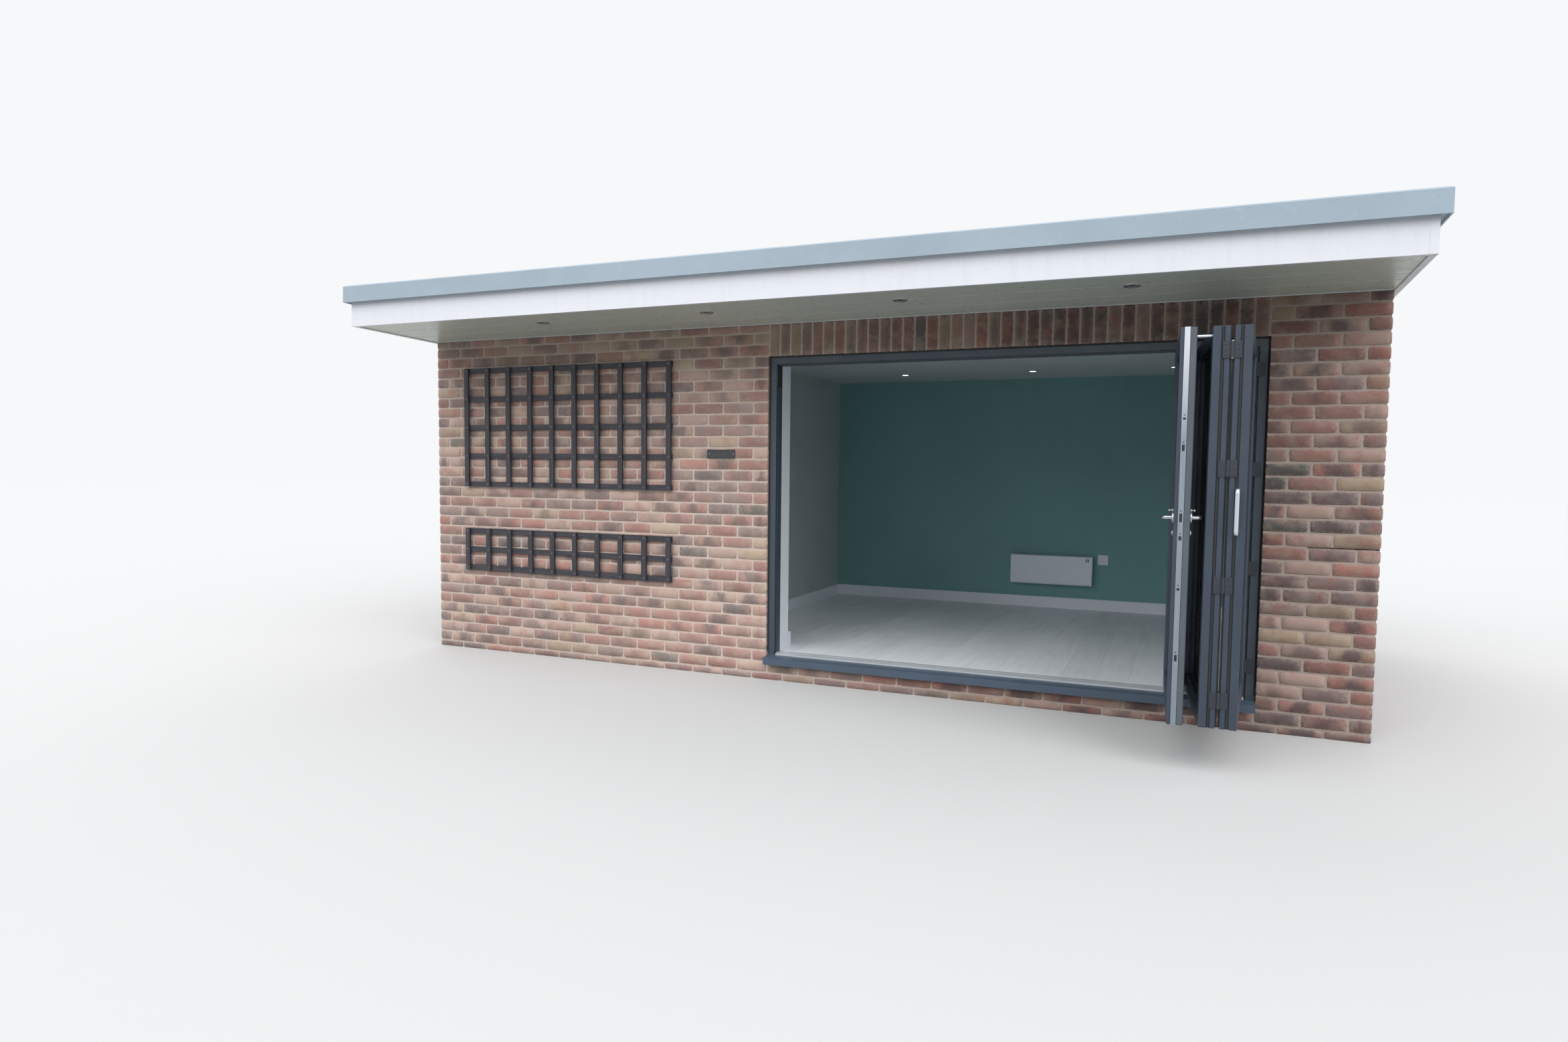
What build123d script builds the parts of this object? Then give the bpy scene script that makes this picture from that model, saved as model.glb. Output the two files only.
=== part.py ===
from build123d import *
import math
import os

# Brick bond: one brick, its joint, and the module that both make
BRICK_LENGTH = 215.0
BRICK_WIDTH = 102.5
BRICK_HEIGHT = 65.0
JOINT = 10.0
MODULE = BRICK_LENGTH + JOINT
COURSE = BRICK_HEIGHT + JOINT

# Shell, in bricks along each run
FRONT_BRICKS = 28
SIDE_BRICKS = 15
LEFT_PIER_BRICKS = 12.5
OPENING_BRICKS = 13
WALL_LENGTH = FRONT_BRICKS * MODULE - JOINT
WALL_DEPTH = SIDE_BRICKS * MODULE - JOINT
WALL_THICKNESS = 315.0
OPENING_LEFT = LEFT_PIER_BRICKS * MODULE - JOINT
OPENING_RIGHT = OPENING_LEFT + OPENING_BRICKS * MODULE + JOINT
CILL_COURSES = 2
GROUND_COVER = 25.0
CILL_COURSE_TOP = CILL_COURSES * COURSE - GROUND_COVER
OPENING_HEAD = 2140.0
SOLDIER_COURSE = 210.0

# Floor, ceiling and room
SLAB_TOP = CILL_COURSE_TOP
FLOOR_FINISH = 58.0
FLOOR_TOP = SLAB_TOP + FLOOR_FINISH
REVEAL_PLASTER = 25.0
ROOM_LEFT = 2197.0
PARTITION_THICKNESS = 100.0
SKIRTING_HEIGHT = 95.0
SKIRTING_THICKNESS = 15.0

# Roof: the soffit plane meets the front brick face at this height and falls to the back
SOFFIT_HEIGHT = OPENING_HEAD + SOLDIER_COURSE
ROOF_FALL = 1.0 / 40.0
FALL_ANGLE = math.degrees(math.atan(ROOF_FALL))
FRONT_OVERHANG = 749.0
SOFFIT_BOARD = 10.0
DECK_TOP = 240.0
COVERING = 5.0
FASCIA_THICKNESS = 30.0
FASCIA_LIP = 5.0
CEILING_DROP = 110.0
TRIM_DROP = 85.0
TRIM_RISE = 30.0
TRIM_PROJECTION = 40.0
TRIM_LAP = 60.0
TRIM_SKIN = 8.0

# Door set: outer frame, cill and leaves
FRAME_FACE = 56.0
FRAME_DEPTH = 75.0
FRAME_STEP = 8.0
FRAME_BACK = BRICK_WIDTH
FRAME_FRONT = FRAME_BACK - FRAME_DEPTH
CILL_THICKNESS = 40.0
CILL_NOSE = 50.0
CILL_SLOPE_DROP = 11.0
CILL_NOSE_DEPTH = 44.0
CILL_NOSE_SHEET = 6.0
CILL_SHEET = 15.0
THRESHOLD_HEIGHT = 17.0
TRACK_GROOVE = 16.0
TRACK_DEPTH = 12.0
LEAVES = 3
LEAF_GAP = 3.75
LEAF_THICKNESS = 72.0
LEAF_FLOOR_CLEARANCE = 40.0
LEAF_HEAD_CLEARANCE = 4.0
LEAF_STILE = 70.0
LEAF_TOP_RAIL = 62.0
LEAF_BOTTOM_RAIL = 85.0
GLASS_THICKNESS = 28.0
GLASS_REBATE = 12.0
BEAD_SLOPE = 9.0
EDGE_GROOVE = 16.0
EDGE_GROOVE_DEPTH = 8.0
EDGE_GROOVE_OFFSET = 6.0

# How the leaves stand folded: the jamb and middle leaves lean against each other, the lead one swings freely
FOLD_ANGLE = 4.2
LEAD_ANGLE = 2.3
STACK_BACK = 10.0
JAMB_CLEARANCE = 6.0
FRONT_HINGE_GAP = 20.0
BACK_HINGE_GAP = 35.0

# Door furniture
HINGES = 4
LOWEST_HINGE = 133.0
HIGHEST_HINGE = 110.0
HINGE_LENGTH = 76.0
HINGE_PLATE = 5.0
HINGE_PLATE_WIDTH = 30.0
KNUCKLE_RADIUS = 8.0
CARRIER_CLEARANCE = 1.0
HANDLE_HEIGHT = 1200.0
ROSE_RADIUS = 26.0
ROSE_THICKNESS = 8.0
LEVER_REACH = 44.0
LEVER_LENGTH = 120.0
LEVER_SECTION = 18.0
PULL_DROP = 77.0
PULL_BOTTOM = HANDLE_HEIGHT - PULL_DROP
PULL_LENGTH = 221.0
PULL_REACH = 38.0
PULL_SECTION = 20.0
LOCK_PLATE_WIDTH = 24.0
LOCK_PLATE_THICKNESS = 3.0
CATCH_RADIUS = 7.0
CATCH_SETBACK = 45.0
CATCH_DROP = 40.0
CATCH_BITE = 1.0

# Fittings on the walls, soffit and ceiling
TRELLIS_LEFT = 286.0
TRELLIS_LENGTH = 1798.0
TRELLIS_COLUMNS = 9
TRELLIS_DROP = 212.0
UPPER_TRELLIS_HEIGHT = 888.0
UPPER_TRELLIS_ROWS = 4
UPPER_TRELLIS_BOTTOM = SOFFIT_HEIGHT - TRELLIS_DROP - UPPER_TRELLIS_HEIGHT
TRELLIS_SPACING = 318.0
LOWER_TRELLIS_HEIGHT = 318.0
LOWER_TRELLIS_ROWS = 2
LOWER_TRELLIS_BOTTOM = UPPER_TRELLIS_BOTTOM - TRELLIS_SPACING - LOWER_TRELLIS_HEIGHT
LATH_WIDTH = 38.0
LATH_THICKNESS = 16.0
PLATE_LENGTH = 208.0
PLATE_HEIGHT = 60.0
PLATE_SETBACK = 239.5
PLATE_LEFT = OPENING_LEFT - PLATE_SETBACK - PLATE_LENGTH
PLATE_RISE = 1290.0
PLATE_BOTTOM = FLOOR_TOP + PLATE_RISE
PLATE_THICKNESS = 6.0
SOFFIT_LIGHT_PITCH = 1228.0
SOFFIT_LIGHT_SHIFT = 73.0
SOFFIT_LIGHT_SETBACK = 492.0
LIGHT_RADIUS = 43.0
LIGHT_BEZEL = 4.0
CEILING_LIGHT_PITCH = 1094.0
CEILING_LIGHT_SHIFT = 45.0
CEILING_LIGHT_ROWS = (965.0, 2400.0)
HEATER_LEFT = 3895.0
HEATER_LENGTH = 705.0
HEATER_RISE = 217.0
HEATER_BOTTOM = FLOOR_TOP + HEATER_RISE
HEATER_HEIGHT = 260.0
HEATER_DEPTH = 75.0
HEATER_STANDOFF = 15.0
SOCKET_SIZE = 86.0
SOCKET_DEPTH = 9.0
SOCKET_SPACING = 40.0
SOCKET_LEFT = HEATER_LEFT + HEATER_LENGTH + SOCKET_SPACING
SOCKET_RISE = 406.0
SOCKET_BOTTOM = FLOOR_TOP + SOCKET_RISE

# Values worked out from the ones above
ROOM_RIGHT = WALL_LENGTH - WALL_THICKNESS
ROOM_BACK = WALL_DEPTH - WALL_THICKNESS
REVEAL_LEFT = OPENING_LEFT + REVEAL_PLASTER
REVEAL_RIGHT = OPENING_RIGHT - REVEAL_PLASTER
PARTITION_LEFT = ROOM_LEFT - PARTITION_THICKNESS
CEILING_HEIGHT = SOFFIT_HEIGHT - CEILING_DROP
FRAME_HEAD = OPENING_HEAD - FRAME_FACE
CILL_TOP = CILL_COURSE_TOP + CILL_THICKNESS
THRESHOLD_TOP = CILL_TOP + THRESHOLD_HEIGHT
CLEAR_WIDTH = OPENING_RIGHT - OPENING_LEFT - 2 * FRAME_FACE
TRACK_Y = (FRAME_FRONT + FRAME_BACK) / 2
LEAF_WIDTH = (CLEAR_WIDTH - (LEAVES + 1) * LEAF_GAP) / LEAVES
LEAF_BOTTOM = THRESHOLD_TOP + LEAF_FLOOR_CLEARANCE
LEAF_TOP = FRAME_HEAD - LEAF_HEAD_CLEARANCE
TRIM_BOTTOM = DECK_TOP - TRIM_DROP
TRIM_TOP = DECK_TOP + TRIM_RISE
ROOF_BACK = WALL_DEPTH / math.cos(math.radians(FALL_ANGLE))
ABOVE_ROOF = SOFFIT_HEIGHT + TRIM_TOP + FRONT_OVERHANG


def block(x0, x1, y0, y1, z0, z1):
    """A box from its two opposite corners."""
    middle = ((x0 + x1) / 2, (y0 + y1) / 2, (z0 + z1) / 2)
    return Pos(*middle) * Box(x1 - x0, y1 - y0, z1 - z0)


def prism_along_x(profile, x0, x1):
    """A prism with a (y, z) outline, running along X."""
    face = make_face(Polyline(*[(x0, y, z) for y, z in profile], close=True))
    return extrude(face, amount=x1 - x0, dir=(1, 0, 0))


def prism_along_z(outline, z0, z1):
    """A prism with an (x, y) outline, standing along Z."""
    face = make_face(Polyline(*[(x, y, z0) for x, y in outline], close=True))
    return extrude(face, amount=z1 - z0, dir=(0, 0, 1))


def on_roof(shape):
    """Tilt a shape made on a level soffit plane down onto the falling one."""
    return Pos(0, 0, SOFFIT_HEIGHT) * Rot(-FALL_ANGLE, 0, 0) * shape


def under_roof(shape):
    """Trim a wall or ceiling off along the falling soffit plane."""
    above = block(-WALL_LENGTH, 2 * WALL_LENGTH, -WALL_DEPTH, 2 * WALL_DEPTH, 0, ABOVE_ROOF)
    return shape - on_roof(above)


def solids(*shapes):
    """Several solids that do not touch, kept together as one node."""
    return Compound(children=[s for shape in shapes for s in shape.solids()])


def brick_walls():
    """The outer brick leaf, split beside, over and under the doorway."""
    inner_back = WALL_DEPTH - BRICK_WIDTH
    left = block(0, OPENING_LEFT, 0, BRICK_WIDTH, 0, ABOVE_ROOF)
    right = block(OPENING_RIGHT, WALL_LENGTH, 0, BRICK_WIDTH, 0, ABOVE_ROOF)
    over = block(OPENING_LEFT, OPENING_RIGHT, 0, BRICK_WIDTH, OPENING_HEAD, ABOVE_ROOF)
    side = block(0, BRICK_WIDTH, BRICK_WIDTH, inner_back, 0, ABOVE_ROOF)
    back = block(0, WALL_LENGTH, inner_back, WALL_DEPTH, 0, ABOVE_ROOF)
    return {
        "front_wall_left": under_roof(left),
        "front_wall_right": under_roof(right),
        "front_wall_over_door": under_roof(over),
        "front_wall_under_door": block(OPENING_LEFT, OPENING_RIGHT, 0, BRICK_WIDTH, 0, CILL_COURSE_TOP),
        "left_wall": under_roof(side),
        "right_wall": under_roof(Pos(WALL_LENGTH - BRICK_WIDTH, 0, 0) * side),
        "back_wall": under_roof(back),
    }


def linings():
    """The plastered inner walls that stand on the slab behind the brick."""
    outer_right = WALL_LENGTH - BRICK_WIDTH
    outer_back = WALL_DEPTH - BRICK_WIDTH
    split = PARTITION_LEFT + PARTITION_THICKNESS / 2
    top = ABOVE_ROOF
    front_left = block(BRICK_WIDTH, REVEAL_LEFT, BRICK_WIDTH, WALL_THICKNESS, SLAB_TOP, top)
    front_right = block(REVEAL_RIGHT, outer_right, BRICK_WIDTH, WALL_THICKNESS, SLAB_TOP, top)
    over = block(REVEAL_LEFT, REVEAL_RIGHT, BRICK_WIDTH, WALL_THICKNESS, OPENING_HEAD - REVEAL_PLASTER, top)
    left = block(BRICK_WIDTH, WALL_THICKNESS, WALL_THICKNESS, ROOM_BACK, SLAB_TOP, top)
    right = block(ROOM_RIGHT, outer_right, WALL_THICKNESS, ROOM_BACK, SLAB_TOP, top)
    back_store = block(BRICK_WIDTH, split, ROOM_BACK, outer_back, SLAB_TOP, top)
    back_room = block(split, outer_right, ROOM_BACK, outer_back, SLAB_TOP, top)
    return {
        "lining_front": solids(under_roof(front_left), under_roof(front_right)),
        "lining_over_door": under_roof(over),
        "lining_sides": solids(under_roof(left), under_roof(right)),
        "lining_back_store": under_roof(back_store),
        "lining_back_room": under_roof(back_room),
    }


def room():
    """Slab, floor finish, partition, ceiling and skirting."""
    slab = block(BRICK_WIDTH, WALL_LENGTH - BRICK_WIDTH, BRICK_WIDTH, WALL_DEPTH - BRICK_WIDTH, 0, SLAB_TOP)
    finish = block(ROOM_LEFT, ROOM_RIGHT, WALL_THICKNESS, ROOM_BACK, SLAB_TOP, FLOOR_TOP)
    finish += block(REVEAL_LEFT, REVEAL_RIGHT, BRICK_WIDTH, WALL_THICKNESS, SLAB_TOP, FLOOR_TOP)
    store_finish = block(WALL_THICKNESS, PARTITION_LEFT, WALL_THICKNESS, ROOM_BACK, SLAB_TOP, FLOOR_TOP)
    partition = block(PARTITION_LEFT, ROOM_LEFT, WALL_THICKNESS, ROOM_BACK, SLAB_TOP, CEILING_HEIGHT)
    ceiling = block(WALL_THICKNESS, ROOM_RIGHT, WALL_THICKNESS, ROOM_BACK, CEILING_HEIGHT, ABOVE_ROOF)
    return {
        "floor_slab": slab,
        "floor_finish": solids(finish, store_finish),
        "partition_wall": partition,
        "ceiling": under_roof(ceiling),
        "skirting_boards": skirting(),
    }


def skirting():
    """One run of board round the room, broken at the doorway."""
    t = SKIRTING_THICKNESS
    outline = [
        (REVEAL_LEFT, BRICK_WIDTH), (REVEAL_LEFT, WALL_THICKNESS), (ROOM_LEFT, WALL_THICKNESS),
        (ROOM_LEFT, ROOM_BACK), (ROOM_RIGHT, ROOM_BACK), (ROOM_RIGHT, WALL_THICKNESS),
        (REVEAL_RIGHT, WALL_THICKNESS), (REVEAL_RIGHT, BRICK_WIDTH), (REVEAL_RIGHT - t, BRICK_WIDTH),
        (REVEAL_RIGHT - t, WALL_THICKNESS + t), (ROOM_RIGHT - t, WALL_THICKNESS + t),
        (ROOM_RIGHT - t, ROOM_BACK - t), (ROOM_LEFT + t, ROOM_BACK - t),
        (ROOM_LEFT + t, WALL_THICKNESS + t), (REVEAL_LEFT + t, WALL_THICKNESS + t),
        (REVEAL_LEFT + t, BRICK_WIDTH),
    ]
    return prism_along_z(outline, FLOOR_TOP, FLOOR_TOP + SKIRTING_HEIGHT)


def roof_body():
    """Soffit board, deck and the laminate laid on it."""
    front = -FRONT_OVERHANG
    deck_profile = [
        (front, SOFFIT_BOARD), (0, SOFFIT_BOARD), (0, 0), (ROOF_BACK, 0),
        (ROOF_BACK, DECK_TOP), (front, DECK_TOP),
    ]
    lap = TRIM_LAP
    covering = block(lap, WALL_LENGTH - lap, front + lap, ROOF_BACK - lap, DECK_TOP, DECK_TOP + COVERING)
    return {
        "soffit_board": on_roof(block(0, WALL_LENGTH, front, 0, 0, SOFFIT_BOARD)),
        "roof_deck": on_roof(prism_along_x(deck_profile, 0, WALL_LENGTH)),
        "roof_covering": on_roof(covering),
    }


def fascias():
    """White boards round the roof edge; the front one runs past the side ones."""
    front = -FRONT_OVERHANG
    t = FASCIA_THICKNESS
    front_board = block(-t, WALL_LENGTH + t, front - t, front, -FASCIA_LIP, DECK_TOP)
    back_board = block(-t, WALL_LENGTH + t, ROOF_BACK, ROOF_BACK + t, 0, DECK_TOP)
    left_board = block(-t, 0, front, ROOF_BACK, -FASCIA_LIP, DECK_TOP)
    right_board = Pos(WALL_LENGTH + t, 0, 0) * left_board
    return {
        "fascia_front": on_roof(front_board),
        "fascia_back": on_roof(back_board),
        "fascia_sides": solids(on_roof(left_board), on_roof(right_board)),
    }


def trim_profile(run):
    """Raised edge trim: a face that hangs clear of the fascia, with a kerb that laps the deck."""
    inner = FASCIA_THICKNESS + TRIM_LAP
    kerb = FASCIA_THICKNESS + TRIM_SKIN
    points = [
        (-TRIM_PROJECTION, TRIM_BOTTOM), (-TRIM_PROJECTION + TRIM_SKIN, TRIM_BOTTOM),
        (-TRIM_PROJECTION + TRIM_SKIN, TRIM_BOTTOM + TRIM_SKIN), (0, TRIM_BOTTOM + TRIM_SKIN),
        (0, DECK_TOP), (inner, DECK_TOP), (inner, DECK_TOP + COVERING), (kerb, TRIM_TOP),
        (-TRIM_PROJECTION + TRIM_SKIN, TRIM_TOP), (-TRIM_PROJECTION, TRIM_TOP - TRIM_SKIN),
    ]
    return prism_along_x(points, 0, run)


def trims():
    """The four trims, mitred where they meet."""
    t = FASCIA_THICKNESS
    reach = TRIM_PROJECTION + t + TRIM_LAP
    x0 = -t - TRIM_PROJECTION
    x1 = WALL_LENGTH + t + TRIM_PROJECTION
    y0 = -FRONT_OVERHANG - t - TRIM_PROJECTION
    y1 = ROOF_BACK + t + TRIM_PROJECTION
    outer = [(x0, y0), (x1, y0), (x1, y1), (x0, y1)]
    ix0, ix1, iy0, iy1 = x0 + reach, x1 - reach, y0 + reach, y1 - reach
    inner = [(ix0, iy0), (ix1, iy0), (ix1, iy1), (ix0, iy1)]
    across = trim_profile(x1 - x0)
    along = trim_profile(y1 - y0)
    runs_placed = [
        Pos(x0, y0 + TRIM_PROJECTION, 0) * across,
        Pos(x1 - TRIM_PROJECTION, y0, 0) * Rot(0, 0, 90) * along,
        Pos(x1, y1 - TRIM_PROJECTION, 0) * Rot(0, 0, 180) * across,
        Pos(x0 + TRIM_PROJECTION, y1, 0) * Rot(0, 0, -90) * along,
    ]
    runs = []
    for i, run in enumerate(runs_placed):
        j = (i + 1) % len(runs_placed)
        mitre = prism_along_z([outer[i], outer[j], inner[j], inner[i]], 0, TRIM_TOP + TRIM_SKIN)
        runs.append(on_roof(run & mitre))
    return {
        "trim_front": runs[0],
        "trim_back": runs[2],
        "trim_sides": solids(runs[1], runs[3]),
    }


def door_frame():
    """Head with its track, stepped jambs, grooved threshold and the cill that sheds water past the brick."""
    left = frame_jamb()
    right = Pos(OPENING_LEFT + OPENING_RIGHT, 0, 0) * mirror(left, Plane.YZ)
    return {
        "door_frame_head": frame_head(),
        "door_frame_jambs": solids(left, right),
        "door_threshold": threshold(),
        "door_cill": cill(),
    }


def frame_head():
    """Head bar: the outer half stands back a step, and the rollers run in a groove in its underside."""
    half = TRACK_GROOVE / 2
    groove_top = FRAME_HEAD + TRACK_DEPTH
    profile = [
        (FRAME_FRONT, OPENING_HEAD), (FRAME_FRONT, FRAME_HEAD + FRAME_STEP),
        (TRACK_Y - 2 * half, FRAME_HEAD + FRAME_STEP), (TRACK_Y - 2 * half, FRAME_HEAD),
        (TRACK_Y - half, FRAME_HEAD), (TRACK_Y - half, groove_top), (TRACK_Y + half, groove_top),
        (TRACK_Y + half, FRAME_HEAD), (FRAME_BACK, FRAME_HEAD), (FRAME_BACK, OPENING_HEAD),
    ]
    return prism_along_x(profile, OPENING_LEFT, OPENING_RIGHT)


def frame_jamb():
    """Left jamb, with the same step as the head's outer half, which it meets in height too."""
    face = OPENING_LEFT + FRAME_FACE
    step_y = TRACK_Y - TRACK_GROOVE
    outline = [
        (OPENING_LEFT, FRAME_FRONT), (face - FRAME_STEP, FRAME_FRONT), (face - FRAME_STEP, step_y),
        (face, step_y), (face, FRAME_BACK), (OPENING_LEFT, FRAME_BACK),
    ]
    step = block(OPENING_LEFT, face - FRAME_STEP, FRAME_FRONT, step_y, FRAME_HEAD, FRAME_HEAD + FRAME_STEP)
    return prism_along_z(outline, CILL_TOP, FRAME_HEAD) + step


def threshold():
    """Low threshold with the groove that the leaves run in."""
    half = TRACK_GROOVE / 2
    groove_floor = THRESHOLD_TOP - TRACK_DEPTH
    profile = [
        (FRAME_FRONT, CILL_TOP), (FRAME_BACK, CILL_TOP), (FRAME_BACK, THRESHOLD_TOP),
        (TRACK_Y + half, THRESHOLD_TOP), (TRACK_Y + half, groove_floor), (TRACK_Y - half, groove_floor),
        (TRACK_Y - half, THRESHOLD_TOP), (FRAME_FRONT, THRESHOLD_TOP - half),
    ]
    return prism_along_x(profile, OPENING_LEFT + FRAME_FACE, OPENING_RIGHT - FRAME_FACE)


def cill():
    """Sloping cill with a turned-down nose."""
    nose_top = CILL_TOP - CILL_SLOPE_DROP
    underside = nose_top - CILL_SHEET
    profile = [
        (FRAME_BACK, CILL_COURSE_TOP), (FRAME_BACK, CILL_TOP), (FRAME_FRONT, CILL_TOP),
        (-CILL_NOSE, nose_top), (-CILL_NOSE, nose_top - CILL_NOSE_DEPTH),
        (-CILL_NOSE + CILL_NOSE_SHEET, nose_top - CILL_NOSE_DEPTH),
        (-CILL_NOSE + CILL_NOSE_SHEET, underside), (0, underside), (0, CILL_COURSE_TOP),
    ]
    return prism_along_x(profile, OPENING_LEFT, OPENING_RIGHT)


def turned(angle, u, v):
    """The vector (u, v) turned in plan by an angle in degrees."""
    a = math.radians(angle)
    return u * math.cos(a) - v * math.sin(a), u * math.sin(a) + v * math.cos(a)


def jamb_place():
    """Middle of the hinge edge of the leaf that hangs on the right jamb, and its turn."""
    half = LEAF_THICKNESS / 2 * math.cos(math.radians(FOLD_ANGLE))
    return OPENING_RIGHT - FRAME_FACE - JAMB_CLEARANCE - half, STACK_BACK, -FOLD_ANGLE


def middle_place():
    """The same for the middle leaf, whose outer corner meets the jamb leaf's over the front hinge gap."""
    x, y, turn = jamb_place()
    dx, dy = turned(turn, -LEAF_THICKNESS / 2, -LEAF_WIDTH)
    back_x, back_y = turned(FOLD_ANGLE, LEAF_THICKNESS / 2, -LEAF_WIDTH)
    return x + dx - FRONT_HINGE_GAP - back_x, y + dy - back_y, FOLD_ANGLE


def lead_place():
    """The same for the lead leaf, whose inner corner meets the middle leaf's over the back hinge gap."""
    x, y, turn = middle_place()
    dx, dy = turned(turn, -LEAF_THICKNESS / 2, 0)
    back_x, back_y = turned(LEAD_ANGLE, LEAF_THICKNESS / 2, 0)
    return x + dx - BACK_HINGE_GAP - back_x, y + dy - back_y, LEAD_ANGLE


def placed(place, shape):
    """Stand a shape made for a leaf: thickness on X, hinge edge at the origin, leaf running along -Y."""
    x, y, turn = place
    return Pos(x, y, 0) * Rot(0, 0, turn) * shape


def leaf_frame(side):
    """Stiles and rails of one leaf, with sloped beads, the glass rebate and the grooves in its long edges."""
    half = LEAF_THICKNESS / 2
    frame = block(-half, half, -LEAF_WIDTH, 0, LEAF_BOTTOM, LEAF_TOP)
    y0, y1 = -LEAF_WIDTH + LEAF_STILE, -LEAF_STILE
    z0, z1 = LEAF_BOTTOM + LEAF_BOTTOM_RAIL, LEAF_TOP - LEAF_TOP_RAIL
    frame -= block(-half, half, y0, y1, z0, z1)
    faces = frame.edges().filter_by(Axis.X, reverse=True).group_by(Axis.X)
    opening = [e for group in (faces[0], faces[-1]) for e in group if within(e.center(), y0, y1, z0, z1)]
    frame = chamfer(opening, BEAD_SLOPE)
    x0 = side * EDGE_GROOVE_OFFSET - EDGE_GROOVE / 2
    x1 = x0 + EDGE_GROOVE
    for y in (-LEAF_WIDTH, -EDGE_GROOVE_DEPTH):
        frame -= block(x0, x1, y, y + EDGE_GROOVE_DEPTH, LEAF_BOTTOM, LEAF_TOP)
    return frame - glass_pane()


def within(point, y0, y1, z0, z1):
    """Whether a point lies inside a rectangle in Y and Z, or close round it."""
    slack = LEAF_STILE / 2
    return y0 - slack < point.Y < y1 + slack and z0 - slack < point.Z < z1 + slack


def glass_pane():
    """Sealed unit of one leaf."""
    half = GLASS_THICKNESS / 2
    y0, y1 = -LEAF_WIDTH + LEAF_STILE - GLASS_REBATE, -LEAF_STILE + GLASS_REBATE
    z0 = LEAF_BOTTOM + LEAF_BOTTOM_RAIL - GLASS_REBATE
    z1 = LEAF_TOP - LEAF_TOP_RAIL + GLASS_REBATE
    return block(-half, half, y0, y1, z0, z1)


def leaves():
    """Three glazed leaves folded together outside the right jamb."""
    glass = glass_pane()
    return {
        "leaf_frame_lead": placed(lead_place(), leaf_frame(-1)),
        "leaf_frame_middle": placed(middle_place(), leaf_frame(1)),
        "leaf_frame_jamb": placed(jamb_place(), leaf_frame(-1)),
        "leaf_glass": solids(*[placed(place(), glass) for place in (lead_place, middle_place, jamb_place)]),
    }


def hinge_heights():
    """Hinges spread evenly between the lowest and the highest one."""
    low = LEAF_BOTTOM + LOWEST_HINGE
    high = LEAF_TOP - HIGHEST_HINGE
    return [low + i * (high - low) / (HINGES - 1) for i in range(HINGES)]


def upright(x, y, z0, z1, radius):
    """A round pin between two heights."""
    return Pos(x, y, (z0 + z1) / 2) * Cylinder(radius, abs(z1 - z0))


def knuckle(x, y, z):
    return upright(x, y, z - HINGE_LENGTH / 2, z + HINGE_LENGTH / 2, KNUCKLE_RADIUS)


def plate(place, x0, x1, y0, y1, z):
    """A hinge plate in a leaf's own coordinates, centred on a height."""
    return placed(place, block(x0, x1, y0, y1, z - HINGE_LENGTH / 2, z + HINGE_LENGTH / 2))


def front_hinge(z):
    """Hinge over the outer edges of the middle and jamb leaves."""
    half = LEAF_THICKNESS / 2
    reach = FRONT_HINGE_GAP / 2
    y = -LEAF_WIDTH
    on_jamb = plate(jamb_place(), -half - reach, -half + HINGE_PLATE_WIDTH, y - HINGE_PLATE, y, z)
    on_middle = plate(middle_place(), half - HINGE_PLATE_WIDTH, half + reach, y - HINGE_PLATE, y, z)
    x, y, turn = jamb_place()
    dx, dy = turned(turn, -half, -LEAF_WIDTH)
    return on_jamb + on_middle + knuckle(x + dx - reach, y + dy - HINGE_PLATE, z)


def back_hinge(z):
    """Hinge behind the inner edges of the lead and middle leaves."""
    half = LEAF_THICKNESS / 2
    reach = BACK_HINGE_GAP / 2
    on_middle = plate(middle_place(), -half - reach, -half + HINGE_PLATE_WIDTH, 0, HINGE_PLATE, z)
    on_lead = plate(lead_place(), half - HINGE_PLATE_WIDTH, half + reach, 0, HINGE_PLATE, z)
    x, y = pin_place()
    return on_middle + on_lead + knuckle(x, y, z)


def pin_place():
    """Axis of the hinge between the lead and middle leaves."""
    x, y, turn = middle_place()
    dx, dy = turned(turn, -LEAF_THICKNESS / 2, 0)
    return x + dx - BACK_HINGE_GAP / 2, y + dy + HINGE_PLATE


def jamb_hinge(z):
    """Hinge from the jamb's face to the edge of the jamb leaf."""
    half = LEAF_THICKNESS / 2
    jamb_x = OPENING_RIGHT - FRAME_FACE
    x0, x1 = jamb_x + FRAME_STEP, jamb_x + FRAME_STEP + HINGE_PLATE_WIDTH
    z0, z1 = z - HINGE_LENGTH / 2, z + HINGE_LENGTH / 2
    on_jamb = block(jamb_x, x1, FRAME_FRONT - HINGE_PLATE, FRAME_FRONT, z0, z1)
    on_leaf = plate(jamb_place(), half - HINGE_PLATE_WIDTH, half, 0, HINGE_PLATE, z)
    pin_y = (FRAME_FRONT + STACK_BACK) / 2 - HINGE_PLATE / 2
    return on_jamb + on_leaf + knuckle((x0 + jamb_x) / 2 - JAMB_CLEARANCE, pin_y, z)


def carrier(z_track, z_arm, z_hinge):
    """Roller carrier whose arm reaches from the track groove to the pin of the folding joint."""
    x, y = pin_place()
    r = TRACK_GROOVE / 2 - CARRIER_CLEARANCE
    lift = math.copysign(r / 2, z_arm - z_track)
    arm = block(x - r, x + r, y, TRACK_Y, z_arm - r / 2, z_arm + r / 2)
    arm += upright(x, TRACK_Y, z_track, z_arm + lift, r)
    return arm + upright(x, y, z_arm - lift, z_hinge, r)


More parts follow.
